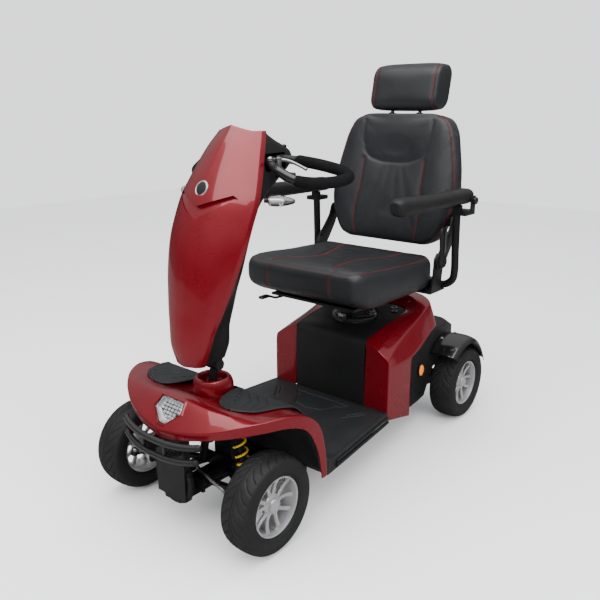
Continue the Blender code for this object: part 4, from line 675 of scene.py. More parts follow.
# the side cowl from its front round to the middle of its back: lower edge, two creases and inner edge
SIDE_COWL = [
    ((-0.0780, 0.233, 0.300), (-0.0800, 0.231, 0.322), (-0.081, 0.190, 0.350), (-0.084, 0.1425, 0.3735)),
    ((-0.150, 0.234, 0.298), (-0.145, 0.216, 0.350), (-0.148, 0.182, 0.371), (-0.150, 0.1425, 0.3885)),
    ((-0.219, 0.233, 0.299), (-0.215, 0.206, 0.374), (-0.217, 0.176, 0.389), (-0.219, 0.1425, 0.3995)),
    ((-0.290, 0.227, 0.316), (-0.285, 0.202, 0.398), (-0.288, 0.172, 0.408), (-0.292, 0.1425, 0.4110)),
    ((-0.365, 0.217, 0.340), (-0.350, 0.198, 0.419), (-0.343, 0.168, 0.425), (-0.3260, 0.1385, 0.4165)),
    ((-0.425, 0.206, 0.360), (-0.405, 0.188, 0.440), (-0.378, 0.142, 0.447), (-0.3465, 0.1150, 0.4200)),
    ((-0.448, 0.165, 0.366), (-0.428, 0.150, 0.452), (-0.389, 0.095, 0.457), (-0.3550, 0.0765, 0.4215)),
    ((-0.455, 0.080, 0.368), (-0.437, 0.075, 0.458), (-0.392, 0.045, 0.462), (-0.3560, 0.0365, 0.4220)),
    ((-0.457, 0.0004, 0.368), (-0.440, 0.0004, 0.460), (-0.393, 0.0004, 0.463), (-0.3560, 0.0004, 0.4222)),
]
# the side panel's foot under the first stations
COWL_FOOT = [(-0.078, 0.233, 0.125), (-0.150, 0.2335, 0.108), (-0.219, 0.233, 0.0915)]
# x, half-width, bottom and top of the rear body's walls; the roof's height from the third station on
BODY_LINE = [
    (-0.2230, 0.205, 0.094, 0.285), (-0.300, 0.203, 0.095, 0.306), (-0.3260, 0.202, 0.096, 0.318),
    (-0.376, 0.200, 0.102, 0.332), (-0.440, 0.196, 0.192, 0.338), (-0.540, 0.190, 0.192, 0.330),
    (-0.615, 0.172, 0.180, 0.300), (-0.640, 0.140, 0.184, 0.285),
]
BODY_ROOF = [0.356, 0.356, 0.358, 0.346, 0.318, 0.300]


def cover_top(x):
    """Height of the battery cover's sloping top."""
    return 0.378 + 0.163 * (-0.092 - x)


def battery_cover():
    line = [(COVER_FRONT_X, z, COVER_Y) for z in (0.1515, 0.250, 0.335)]
    line += [(COVER_FRONT_X - 0.0012, 0.354, COVER_Y), (COVER_FRONT_X - 0.0062, 0.3665, COVER_Y)]
    line += [(x, cover_top(x), COVER_Y) for x in (-0.0965, -0.16, SEAT_POST_X, -0.296)]
    line += [(x, cover_top(x), y) for x, y in ((-0.324, 0.1365), (-0.343, 0.1130), (-0.351, 0.0750))]
    rows = [[(x, y * t, z) for t in (1, 0.97, 0.6, 0.3, 0)] for x, z, y in line]
    mesh = shelled([refined(rows, 8, 8)], outward=(0.7, 0, 0.7))
    hole = Shape().turned([(0, 0.30), (0.0815, 0.30), (0.0815, 0.46), (0, 0.46)], (SEAT_POST_X, 0, 0),
                          (0, 0, 1), 64)
    piece("battery_cover_shell", less(mesh, hole), "chassis", "black_satin", ["battery_cover"], smooth=30)
    ports = Shape()
    slope = (0.161, 0, 0.987)
    for x, y in ((-0.305, 0.109), (-0.330, 0.092)):
        top = cover_top(x)
        ports.turned([(0, -0.002), (0.0125, -0.002), (0.0125, 0.0018), (0.0112, 0.0030), (0.0092, 0.0030),
                      (0.0085, 0.0016), (0.0, 0.0016)], (x, y, top), slope, 32)
        ports.block((x - 0.006, y - 0.0012, top + 0.0012), (x + 0.006, y + 0.0012, top + 0.0042), 0.0008)
    piece("charger_caps", ports, "chassis", "black_gloss")


def seat_post_boot():
    profile = spline([(0.0285, 0.4315), (0.0335, 0.4315), (0.0390, 0.4260), (0.0415, 0.4150),
                      (0.0440, 0.4040), (0.0500, 0.3985), (0.0560, 0.4010), (0.0610, 0.4080),
                      (0.0680, 0.4112), (0.0740, 0.4105), (0.0790, 0.4060), (0.0812, 0.3960),
                      (0.0810, 0.3885)], 4)
    inner = [(0.0700, 0.3845), (0.0400, 0.3920), (0.0285, 0.3960)]
    shape = Shape().turned([*profile, *inner], (SEAT_POST_X, 0, 0), (0, 0, 1), 72, closed=True)
    turn = np.linspace(0, 2 * np.pi, 48, endpoint=False)
    for r, z in ((0.0345, 0.4300), (0.0402, 0.4200), (0.0430, 0.4090)):
        fold = (SEAT_POST_X, 0, z) + r * circle(turn, np.array((1, 0, 0)), np.array((0, 1, 0)))
        shape.tube(fold, 0.0014, 8, closed=True)
    piece("seat_post_gaiter", shape, "chassis", "black_gloss", ["seat_post_boot"], smooth=40)
    plate = Shape().block((-0.1500, -0.016, 0.4085), (-0.1465, 0.016, 0.4215), 0.0010)
    piece("seat_post_clip", plate, "chassis", "zinc_steel")


def side_cowl(word, side):
    rows = [[sided(p, side) for p in row] for row in SIDE_COWL]
    top = refined(rows, 9, 8, corners={1: 0.006, 2: 0.005})
    # the side panel under the ridge, from its foot up to the first row's lower edge
    panel = [[foot, (foot + row[0]) / 2, row[0]] for foot, row in zip(sided(COWL_FOOT, side), rows)]
    lower = refined(panel, 9, 8)
    lower[:, -1] = top[:lower.shape[0], 0]
    # the front return closes the cowl towards the battery cover
    edge = np.concatenate([lower[0], top[0][1:]])
    inner = sided(np.linspace((-0.0780, 0.1425, 0.1525), (-0.0840, 0.1425, 0.3735), len(edge)), side)
    front = np.linspace(edge, inner, 8)
    mesh = shelled([top, lower, front], mirror=False, outward=(0, side, 0.3))
    piece(f"side_cowl_shell_{word}", mesh, "chassis", "red_paint", [f"side_cowl_{word}"], smooth=30)


def rear_body():
    walls = refined([[(x, y, low), (x, y + 0.0008, (low + high) / 2), (x, y, high)]
                     for x, y, low, high in BODY_LINE], 8, 6, ridges=(3, 4))
    roof = []
    for (x, y, _, high), top in zip(BODY_LINE[2:], BODY_ROOF):
        shoulder = y - 0.035
        roof.append([(x, y, high), (x, shoulder, top), (x, shoulder / 2, top + 0.001), (x, 0, top + 0.0015)])
    roof = refined(roof, 8, 6, corners={1: 0.010}, ridges=(1, 2))
    roof[:, 0] = walls[16:, -1]    # the roof starts two spans of the walls further back
    low = np.linspace((-0.640, 0.140, 0.184), (-0.640, 0, 0.184), len(roof[-1]))
    tail = np.linspace(low, roof[-1], len(walls[-1]))
    tail[:, 0] = walls[-1]
    mesh = shelled([walls, roof, tail], outward=(0, 1, 1))
    piece("rear_body_shell", mesh, "chassis", "black_satin", ["rear_body"], smooth=32)
    route = [(-0.625, 0.150, 0.205), (-0.650, 0.139, 0.205), (-0.661, 0.108, 0.205), (-0.6625, 0.05, 0.205),
             (-0.6625, 0, 0.205)]
    route += mirrored(route[-2::-1])
    piece("rear_bumper_bar", Shape().tube(spline(route, 6), 0.0088, 20), "chassis", "black_gloss")
    lamp = Shape().block((-0.6480, -0.110, 0.240), (-0.6403, 0.110, 0.268), 0.003)
    for k in range(-9, 10):
        lamp.block((-0.6487, k * 0.011 - 0.0042, 0.243), (-0.6476, k * 0.011 + 0.0042, 0.265), 0.0005)
    piece("tail_light_lens", lamp, "chassis", "red_lens", ["tail_light"])
    # the frame's section: x, half-width and half-height at its four corners
    section = ((-0.6400, 0.1135, 0.0175), (-0.6455, 0.1135, 0.0175), (-0.6455, 0.1105, 0.0145),
               (-0.6400, 0.1105, 0.0145))
    rim = [[(x, y * half, 0.254 + z * tall) for y, z in ((-1, -1), (1, -1), (1, 1), (-1, 1))]
           for x, half, tall in section]
    piece("tail_light_frame", Shape().grid(rim, wrap_rows=True, wrap_columns=True), "chassis", "black_gloss",
          smooth=20)


def body_side(x):
    """Half-width of the rear body at x."""
    line = np.array(BODY_LINE)
    return float(np.interp(-x, -line[:, 0], line[:, 1]))


def side_reflector(word, side):
    turn = np.linspace(0, 2 * np.pi, 48, endpoint=False)
    outline = circle(turn, np.array((0.85, 0, 0)), np.array((0, 0, 1.15)))

    def ovals(*sizes):
        """Oval rings of (size, distance out from the body)."""
        return [np.array((-0.332, side * (0.2062 + h), 0.213)) + r * outline for r, h in sizes]

    lens = Shape().rings(ovals((0.0170, -0.0005), (0.0170, 0.0035), (0.0150, 0.0056), (0.0100, 0.0068),
                               (0.004, 0.0074)))
    ring = Shape().grid(ovals((0.0174, -0.0005), (0.0174, 0.0042), (0.0196, 0.0050), (0.0212, 0.0030),
                              (0.0215, -0.0005)), wrap_rows=True, wrap_columns=True)
    piece(f"reflector_lens_{word}", lens, "chassis", "amber_lens", [f"side_reflector_{word}"])
    piece(f"reflector_ring_{word}", ring, "chassis", "black_gloss")


def rear_fender(word, side):
    axle = np.array((-AXLE_X, 0, AXLE_Z))
    # angle about the axle and radius, from the front round to the back, then y and lift across the fender
    reach = ((48, 0.172), (65, 0.172), (82, 0.171), (98, 0.168), (114, 0.161), (129, 0.154), (143, 0.149),
             (156, 0.147))
    across = ((0.214, 0.003), (0.262, 0.005), (0.294, 0.000), (0.304, -0.016))

    def outward(angle):
        return np.array((math.cos(math.radians(angle)), 0, math.sin(math.radians(angle))))

    rows = []
    for angle, radius in reach:
        out = outward(angle)
        inner = max(body_side(-AXLE_X + radius * out[0]) + 0.0013, 0.178)
        rows.append([axle + (0, y * side, 0) + out * (radius + lift)
                     for y, lift in ((inner, -0.002), *across)])
    mesh = shelled([refined(rows, 8, 8, corners={3: 0.008})], wall=0.0026, mirror=False, bevel=0.0010)
    bolts = Shape()
    for angle, radius in ((72, 0.1738), (106, 0.1668)):
        out = outward(angle)
        bolts.bolt(axle + (0, side * 0.216, 0) + out * radius, out, 0.0062)
    piece(f"rear_fender_shell_{word}", mesh, "chassis", "black_gloss", [f"rear_fender_{word}"], smooth=32)
    piece(f"rear_fender_bolts_{word}", bolts, "chassis", "zinc_steel")


# ------------------------------------------------------------------ tiller
COLUMN_ROUTE = [(0.4450, 0, 0.458), (0.456, 0, 0.56), (0.437, 0, 0.66), (0.402, 0, 0.78), (0.338, 0, 0.915),
                (0.326, 0, 0.937)]
# left half, from the top down: the edge where both covers meet, and the crease on the centre plane
TILLER_LINE = [
    ((0.304, 0.079, 1.030), (0.352, 0, 1.045)), ((0.326, 0.095, 0.993), (0.392, 0, 0.998)),
    ((0.349, 0.110, 0.950), (0.425, 0, 0.953)), ((0.371, 0.124, 0.907), (0.453, 0, 0.910)),
    ((0.393, 0.135, 0.864), (0.478, 0, 0.865)), ((0.418, 0.137, 0.813), (0.498, 0, 0.815)),
    ((0.437, 0.136, 0.769), (0.513, 0, 0.770)), ((0.453, 0.130, 0.724), (0.525, 0, 0.724)),
    ((0.470, 0.120, 0.671), (0.534, 0, 0.671)), ((0.484, 0.108, 0.625), (0.539, 0, 0.625)),
    ((0.497, 0.095, 0.580), (0.543, 0, 0.580)), ((0.509, 0.080, 0.535), (0.549, 0, 0.535)),
    ((0.517, 0.068, 0.486), (0.553, 0, 0.486)), ((0.516, 0.049, 0.444), (0.548, 0, 0.443)),
]
# top edge of the rear cover, from its side to its middle
REAR_LID = [(0.306, 0.0725, 1.0285), (0.3185, 0.0670, 1.0285), (0.333, 0.049, 1.0285),
            (0.341, 0.0235, 1.0335), (0.345, 0, 1.0385)]
# x, z and half-width of the rear cover's back for each row of TILLER_LINE
REAR_BACK = [
    (0.296, 1.024, 0.070), (0.256, 1.006, 0.078), (0.190, 0.974, 0.078), (0.183, 0.953, 0.078),
    (0.208, 0.925, 0.076), (0.300, 0.870, 0.072), (0.334, 0.785, 0.068), (0.352, 0.724, 0.062),
    (0.368, 0.668, 0.056), (0.384, 0.620, 0.050), (0.396, 0.575, 0.046), (0.408, 0.530, 0.042),
    (0.408, 0.478, 0.036), (0.421, 0.440, 0.030),
]
# the recessed panel over the tiller's brow, left half, from its top centre round to its bottom centre
RECESS = [(0.4835, 0.0, 0.8505), (0.438, 0.0904, 0.8803), (0.434, 0.1030, 0.8720), (0.4948, 0.0, 0.8165)]


DASH_NORMAL = np.array((-0.436, 0, 0.900)) / math.hypot(0.436, 0.900)
DIAL = 0.55                    # the speed dial's place on the way up the dash panel


def on_dash(y, share):
    """A point on the dash panel, at a share of the way from its lower edge to its upper one."""
    return np.array((0.190, y, 0.974)) * (1 - share) + np.array((0.256, y, 1.006)) * share


def round_dial(a):
    """The direction at angle a round the speed dial."""
    return np.cross(DASH_NORMAL, (0, 1.0, 0)) * math.cos(a) + np.array((0, 1.0, 0)) * math.sin(a)


def tiller_front_cover():
    rows = []
    for edge, crease in np.array(TILLER_LINE):
        brow = edge + (0.015, -0.003, 0.001)
        deep = crease[0] - brow[0]
        rows.append([edge, brow, np.array((brow[0] + deep * 0.50, brow[1] * 0.76, brow[2])),
                     np.array((brow[0] + deep * 0.86, brow[1] * 0.38, (brow[2] + crease[2]) / 2)), crease])
    grid = refined(rows, 8, 9, corners={1: 0.0035})
    grid[:, -1, 1] = 0
    # the crease on the centre plane is softened a little
    grid[:, -1, 0] -= 0.0008
    mesh = shelled([grid], outward=(1, 0, 0))
    cover = surface_of(mesh)
    outline = [np.array(p) for p in RECESS] + [sided(p, -1) for p in RECESS[2:0:-1]]
    hole = Shape().rings([[p + (-0.05, 0, 0) for p in outline], [p + (0.06, 0, 0) for p in outline]])
    mesh = less(mesh, hole)
    piece("tiller_cover_front", mesh, "tiller", "red_paint", ["tiller_front_cover"], smooth=28)

    # the recess's lining is shallow at its lower edge and deepest at its upper one; its outer levels and its
    # last column are the walls that reach up to the cover
    top_in, top_out, tip, low_in = (np.array(p) for p in RECESS)
    rim, shallow, drop = 0.0016, 0.0040, 0.0080
    levels = [(-0.02, rim), (-0.02, shallow), *((t, shallow + drop * t) for t in np.linspace(0, 1, 13))]
    levels += [(1.02, shallow + drop), (1.02, rim)]
    rows = []
    for t, deep in levels:
        row = []
        for out in np.r_[np.linspace(0, 1, 25), 1.012]:
            p = (low_in + (tip - low_in) * out) * (1 - t) + (top_in + (top_out - top_in) * out) * t
            at, _, _, _ = cover.ray_cast(Vector((0.7, max(p[1], 0.0002), p[2])), Vector((-1, 0, 0)))
            row.append((at[0] - (deep if out <= 1 else min(deep, rim)), p[1] if out else 0.0, p[2]))
        rows.append(row)
    mesh = shelled([rows], wall=0.0012, outward=(1, 0, 0), bevel=0.0002)
    piece("tiller_recess", mesh, "tiller", "red_paint", smooth=30)

    badge = Shape()
    facing = np.array((0.90, 0, 0.43))
    at = np.array((0.4600, 0, 0.8925))
    badge.turned([(0, -0.004), (0.0200, -0.004), (0.0208, 0.0020), (0.0190, 0.0034), (0.0172, 0.0026),
                  (0, 0.0026)],
                 at, facing, 48)
    piece("tiller_badge_ring", badge, "tiller", "alloy")
    disc = Shape().turned([(0, 0.0022), (0.0168, 0.0022), (0.0160, 0.0032), (0.009, 0.0042), (0, 0.0046)], at,
                          facing, 48)
    piece("tiller_badge_disc", disc, "tiller", "black_gloss")


def tiller_rear_cover():
    rows = [REAR_LID]
    for (edge, _), (back_x, back_z, half) in zip(TILLER_LINE, REAR_BACK):
        x, y, z = np.array(edge) + (-0.0015, -0.0045, 0)
        rows.append([(x, y, z), (x + (back_x - x) * 0.38, (y + half) / 2, z + (back_z - z) * 0.4),
                     (back_x + (x - back_x) * 0.16, half, back_z + (z - back_z) * 0.1),
                     (back_x, half * 0.75, back_z), (back_x, 0, back_z)])
    mesh = shelled([refined(rows, 8, 8, corners={2: 0.012}, ridges=(1,))], outward=(-1, 0, 0))
    slots = [Shape().block((0.2363, -0.126, 0.9307), (0.3415, 0.126, 0.9745), 0.006),
             Shape().block((0.2403, -0.126, 0.9113), (0.2915, 0.126, 0.9266), 0.003)]
    piece("tiller_cover_rear", less(mesh, *slots), "tiller", "black_satin", ["tiller_rear_cover"], smooth=32)
    buttons = Shape()
    for y in (0.034, 0.050, 0.066):
        buttons.turned([(0, -0.001), (0.0055, -0.001), (0.0055, 0.0026), (0.0045, 0.0034), (0, 0.0034)],
                       on_dash(y, 0.45), DASH_NORMAL, 20)
    piece("dash_buttons", buttons, "tiller", "black_gloss")
    at = on_dash(0, DIAL)
    ring = Shape().turned([(0.0155, 0.0), (0.0155, 0.0012), (0.0185, 0.0016), (0.0215, 0.0008),
                           (0.0215, 0.0)], at,
                          DASH_NORMAL, 40, closed=True)
    for k in range(11):
        mark = at + round_dial(math.radians(-150 + 30 * k)) * 0.0250
        ring.turned([(0, 0), (0.0009, 0), (0.0009, 0.0007), (0, 0.0007)], mark, DASH_NORMAL, 8)
    piece("dial_ring", ring, "tiller", "alloy")


def tiller_column():
    hinge_x, hinge_z = 0.439, 0.420
    shape = Shape().tube(spline(COLUMN_ROUTE, 8), 0.0140, 28, round_end=0.1)
    for _, side in SIDES:
        shape.turned([(0, 0.0123), (0.0145, 0.0123), (0.0155, 0.0135), (0.0155, 0.0210), (0.0145, 0.0225),
                      (0, 0.0225)],
                     (hinge_x, 0, hinge_z), (0, side, 0), 32)
        shape.side_block(side, (0.4290, 0.0124, 0.420), (0.4530, 0.0219, 0.440), 0.0012)
    shape.block((0.430, -0.0222, 0.4372), (0.461, 0.0222, 0.468), 0.0018)
    shape.tube([(hinge_x, -0.0225, hinge_z), (hinge_x, 0.0225, hinge_z)], 0.0060, 20, round_end=0.05)
    piece("tiller_column_tube", shape, "tiller", "black_steel", ["tiller_column"])


# the left grip loop, once round
GRIP_LOOP = [(0.262, 0.066, 0.957), (0.247, 0.115, 0.956), (0.238, 0.165, 0.951), (0.227, 0.220, 0.942),
             (0.213, 0.258, 0.930), (0.214, 0.273, 0.919), (0.238, 0.262, 0.910), (0.275, 0.215, 0.905),
             (0.301, 0.170, 0.911), (0.318, 0.134, 0.931), (0.320, 0.107, 0.947), (0.298, 0.066, 0.953)]
BRAKE_HUB = np.array((0.316, 0.1300, 0.962))


def handlebar():
    bars, foam, ends = Shape(), Shape(), Shape()
    bars.tube([(0.2800, -0.075, 0.955), (0.2800, 0, 0.955), (0.2800, 0.075, 0.955)], 0.012, 20)
    bars.tube([(0.3215, 0, 0.9385), (0.3115, 0, 0.962)], 0.019, 28, round_end=0.1)
    bars.block((0.274, -0.012, 0.947), (0.316, 0.012, 0.961), 0.002)
    for _, side in SIDES:
        loop = spline([sided(p, side) for p in GRIP_LOOP], 7, closed=True)
        bars.tube(loop, 0.0115, 20, closed=True)
        # the foam covers the outer stretch of the loop, and a tapered sleeve follows it
        foam.tube(loop[10:56], 0.0149, 28, round_end=0.6)
        ends.tube(loop[56:66], [0.0132, 0.0136, 0.0136, 0.0134, *np.linspace(0.0130, 0.0120, 6)], 24)
    piece("handlebar_loops", bars, "tiller", "black_satin", ["handlebar"])
    piece("handlebar_foam", foam, "tiller", "grip_foam")
    piece("handlebar_sleeves", ends, "tiller", "black_gloss")
    perch = Shape()
    top = BRAKE_HUB - (0, 0, 0.0064)
    perch.turned([(0, -0.030), (0.0078, -0.030), (0.0080, -0.003), (0.0074, 0.0), (0, 0)], top, (0, 0, 1), 28)
    perch.turned([(0, -0.004), (0.0030, -0.004), (0.0030, 0.0125), (0.0052, 0.0125), (0.0052, 0.0152),
                  (0, 0.0152)],
                 top, (0, 0, 1), 20)
    perch.block(top + (-0.010, -0.006, -0.028), top + (0.006, 0.006, -0.014), 0.002)
    piece("brake_perch", perch, "tiller", "zinc_steel")


def brake_lever():
    blade = spline([(0.316, 0.1300, 0.962), (0.302, 0.150, 0.958), (0.292, 0.175, 0.9480),
                    (0.290, 0.198, 0.9390)], 6)
    horn = spline([(0.318, 0.1290, 0.962), (0.336, 0.1280, 0.963), (0.346, 0.1275, 0.9635)], 5)
    shape = Shape().turned([(0.0034, -0.0056), (0.0074, -0.0056), (0.0080, -0.0048), (0.0080, 0.0042),
                            (0.0074, 0.0050), (0.0034, 0.0050)], BRAKE_HUB, (0, 0, 1), 32, closed=True)
    shape.tube(blade[2:], np.interp(np.linspace(0, 1, len(blade) - 2), (0, 0.8, 1), (0.0046, 0.0036, 0.0044)),
               18)
    shape.tube(horn[3:], 0.0038, 18)
    shape.turned([(0, -0.0072), (0.0040, -0.0060), (0.0066, -0.0028), (0.0072, 0.0), (0.0066, 0.0028),
                  (0.0040, 0.0060), (0, 0.0072)], horn[-1], (1, 0, 0), 24)
    piece("brake_lever_blade", shape, "brake", "zinc_steel", ["brake_lever"], smooth=45)


def throttle_lever():
    x, z = 0.264, 0.9175
    shape = Shape().tube([(x, y, z) for y in (-0.128, 0, 0.128)], 0.0045, 20)
    shape.turned([(0, -0.0073), (0.0112, -0.0073), (0.012, -0.0065), (0.012, 0.0065), (0.0112, 0.0073),
                  (0, 0.0073)],
                 (x, 0, z), (0, 0, 1), 32)
    for _, side in SIDES:
        shape.side_block(side, (0.259, 0.104, 0.909), (0.269, 0.140, 0.926), 0.0032)
    piece("throttle_paddles", shape, "throttle", "black_gloss", ["throttle_lever"])


def indicator(word, side):
    root, tip = np.array((0.380, 0.1372 * side, 0.866)), np.array((0.343, 0.207 * side, 0.866))
    axis = tip - root

    def turned(profile, steps):
        """A profile whose heights are shares of the indicator's length."""
        return Shape().turned(np.array(profile) * (1, np.linalg.norm(axis)), root, axis, steps)

    dome = spline([(0.0, 1.0), (0.0045, 0.965), (0.0078, 0.87), (0.0112, 0.70), (0.0145, 0.42),
                   (0.0138, 0.26), (0.0120, 0.17), (0.0062, 0.135)], 4)
    lens = turned([(0.0, 0.14), *dome[::-1]], 40)
    piece(f"indicator_lens_{word}", lens, "tiller", "clear_lens", [f"indicator_{word}"])
    bulb = turned([(0.0, 0.15), (0.0040, 0.16), (0.0050, 0.42), (0.0030, 0.62), (0.0, 0.66)], 20)
    piece(f"indicator_bulb_{word}", bulb, "tiller", "clear_lens", material=CHROME)
    stem = turned([(0.0, 0.0), (0.0062, 0.0), (0.0058, 0.06), (0.0064, 0.12), (0.0118, 0.155),
                   (0.0118, 0.175), (0.0, 0.175)], 32)
    piece(f"indicator_stem_{word}", stem, "tiller", "black_satin")


def speed_knob():
    at, ribs = on_dash(0, DIAL) + DASH_NORMAL * 0.0003, 18
    shape = Shape().turned([(0, 0), (0.0135, 0), (0.0130, 0.004), (0.0120, 0.0098), (0.0106, 0.0118),
                            (0.0085, 0.0126), (0, 0.0130)], at, DASH_NORMAL, 40)
    for k in range(ribs):
        out = round_dial(2 * math.pi * k / ribs)
        shape.tube([at + out * 0.0128 + DASH_NORMAL * 0.002, at + out * 0.0118 + DASH_NORMAL * 0.0100],
                   0.0008, 8)
    piece("speed_dial_knob", shape, "speed_dial", "black_gloss", ["speed_knob"])
    zero = round_dial(0)
    mark = Shape().tube([at + DASH_NORMAL * 0.0128 + zero * 0.002, at + DASH_NORMAL * 0.0126 + zero * 0.009],
                        0.0007, 8)
    piece("speed_dial_mark", mark, "speed_dial", "clear_lens")


# ------------------------------------------------------------------ wheels
TYRE_STEPS = 336
SIPES = 28                     # cross cuts round the tread
SPOKES = 5                     # pairs


def tyre_mesh():
    """A tyre on the y axis: smooth walls with a bead line, a tread with middle grooves and curved sipes."""
    section = spline([(0.0806, 0.0355), (0.0835, 0.0402), (0.0870, 0.0425), (0.0880, 0.0418),
                      (0.0900, 0.0432), (0.1000, 0.0446), (0.1100, 0.0450), (0.1175, 0.0436),
                      (0.1230, 0.0395), (0.1262, 0.0330), (0.1282, 0.0255), (0.1293, 0.0180),
                      (0.1298, 0.0100), (0.1300, 0.0040), (0.1300, 0.0)], 3)
    section = np.concatenate([section, (section[:-1] * (1, -1))[::-1]])
    radius, across = section[:, 0], section[:, 1]
    # each sipe leans one way on the left and the other way on the right of the groove
    lean = 0.055 * np.sin(np.clip(np.abs(across) / 0.034, 0, 1.2) * np.pi * 0.9) * np.sign(across)
    tread = np.clip((radius - 0.1225) / 0.003, 0, 1)
    groove = np.clip(1 - np.abs(np.abs(across) - 0.0035) / 0.0020, 0, 1) * 0.9
    turn = 2 * np.pi * np.arange(TYRE_STEPS) / TYRE_STEPS
    rows = []
    for a in turn:
        phase = ((a + lean + 0.35 * np.abs(across) / 0.04) * SIPES / (2 * np.pi)) % 1.0
        cut = np.clip(1 - np.abs(phase - 0.5) / 0.105, 0, 1) ** 0.6 * (np.abs(across) > 0.006)
        worn = radius - 0.0028 * tread * np.maximum(cut, groove)
        row = np.stack([worn * math.cos(a), across, worn * math.sin(a)], axis=1)
        seat = [(0.0806 * math.cos(a), y, 0.0806 * math.sin(a)) for y in (-0.034, 0.034)]
        rows.append(np.concatenate([row, seat]))
    return Shape().grid(rows, wrap_rows=True, wrap_columns=True).mesh("tyre")


def spoke(start, stop):
    """Rings of one spoke, from its angle at the hub to its angle at the barrel, thinner in the middle."""
    hub, barrel, y_axis = 0.0235, 0.0735, np.array((0, 1.0, 0))
    route, widths = [], []
    for t in np.linspace(0, 1, 9):
        r, a, waist = hub + (barrel - hub) * t, start + (stop - start) * t, math.sin(t * math.pi)
        route.append((r * math.cos(a), 0.0180 - 0.0040 * waist + 0.004 * t, r * math.sin(a)))
        widths.append(0.0062 - 0.0012 * waist)
    flow = np.gradient(np.array(route), axis=0)
    rings = []
    for point, along, width in zip(np.array(route), flow, widths):
        wide = np.cross(along / np.linalg.norm(along), y_axis)
        wide /= np.linalg.norm(wide)
        ring = []
        for c in np.linspace(0, 2 * np.pi, 16, endpoint=False):
            flat, tall = (np.sign(v) * abs(v) ** power
                          for v, power in ((math.cos(c), 0.6), (math.sin(c), 0.7)))
            ring.append(point + wide * width * flat + y_axis * (0.0050 * tall - 0.003))
        rings.append(ring)
    return rings


def rim_mesh():
    """A rim on the y axis with its outer face towards +y: barrel, hub, pairs of spokes and a valve."""
    shape = Shape()
    shape.turned([(0.0797, 0.036), (0.0797, -0.036), (0.0760, -0.036), (0.0735, -0.030), (0.0715, 0.0),
                  (0.0715, 0.012), (0.0730, 0.024), (0.0735, 0.0310), (0.0745, 0.0350), (0.0765, 0.0368),
                  (0.0785, 0.0368)],
                 (0, 0, 0), (0, 1, 0), 96, closed=True)
    shape.turned([(0.0085, -0.012), (0.022, -0.012), (0.028, 0.002), (0.0285, 0.016), (0.0255, 0.0205),
                  (0.0210, 0.0235), (0.0085, 0.0250)], (0, 0, 0), (0, 1, 0), 64, closed=True)
    for k in range(SPOKES):
        middle = math.radians(90 + 360 / SPOKES * k)
        for lean in (-1, 1):
            shape.rings(spoke(middle + lean * 0.20, middle + lean * 0.36))
    shape.tube([(0.0, 0.018, -0.0690), (0.0, 0.0255, -0.0655), (0.0, 0.0300, -0.0640)], 0.0026, 16)
    return shape.mesh("rim")


def cap_mesh():
    shape = Shape().turned([(0, 0.0232), (0.0195, 0.0232), (0.0200, 0.0260), (0.0180, 0.0300),
                            (0.0130, 0.0332), (0.0060, 0.0346), (0, 0.0350)], (0, 0, 0), (0, 1, 0), 48)
    return shape.mesh("cap")


def wheels():
    kinds = (("tyre", tyre_mesh(), "tyre"), ("rim", rim_mesh(), "alloy"), ("cap", cap_mesh(), "alloy"))
    for end, x, y in (("front", AXLE_X, 0.2513), ("rear", -AXLE_X, 0.2549)):
        for word, side in SIDES:
            half_turn = Matrix.Rotation(0 if side == 1 else math.pi, 4, "Z")
            at = Matrix.Translation((x, y * side, AXLE_Z)) @ half_turn
            for kind, mesh, slot in kinds:
                stands = [] if kind == "cap" else [f"{end}_{kind}_{word}"]
                piece(f"{end}_{word}_{kind}_fine", mesh, f"{end}_{word}_wheel", slot, stands, at=at)


# ------------------------------------------------------------------ springs and links
SPRING_PLATE = [(0, 0), (0.0195, 0), (0.0205, 0.001), (0.0205, 0.0045), (0.0190, 0.0053), (0, 0.0053)]
REAR_PLATE = [(0, 0), (0.0195, 0), (0.0205, 0.001), (0.0205, 0.0048), (0.0190, 0.0056), (0, 0.0056)]


def coil(foot, head, start, stop, radius=0.0170, turns=5.2, per_turn=22):
    """A coil spring round the line from foot to head, between two shares of its length."""
    run = head - foot
    unit = run / np.linalg.norm(run)
    side = np.cross(unit, (1.0, 0, 0))
    side /= np.linalg.norm(side)
    other = np.cross(unit, side)
    t = np.linspace(0, 1, int(turns * per_turn) + 1)
    a = 2 * np.pi * turns * t
    # the first and last turns lie close together, as a spring's ends do
    lift = t - 0.045 * np.sin(2 * np.pi * t)
    centres = foot + run * (start + (stop - start) * lift)[:, None]
    return Shape().tube(centres + circle(a, side, other) * radius, 0.0031, 14)


def coilover(word, side):
    foot, head = sided((0.465, 0.135, 0.1445), side), sided((0.465, 0.095, 0.2960), side)
    run = head - foot
    shape = Shape()
    for end in (foot, head):
        shape.turned([(0, -0.011), (0.0085, -0.011), (0.009, -0.010), (0.009, 0.010), (0.0085, 0.011),
                      (0, 0.011)],
                     end, (1, 0, 0), 28)
    shape.tube([foot + run * t for t in (0.03, 0.3, 0.60)], 0.010, 28, round_end=0.1)
    shape.tube([foot + run * t for t in (0.55, 0.97)], 0.005, 20)
    for t in (0.09, 0.875):
        shape.turned(SPRING_PLATE, foot + run * t, run, 36)
    body = f"front_{word}_coilover"
    damper = piece(f"front_{word}_damper", shape, body, "black_steel", [f"front_coilover_{word}"])
    spring = piece(f"front_{word}_spring", coil(foot, head, 0.135, 0.862), body, "yellow_paint")
    for obj in (damper, spring):
        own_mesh(obj)


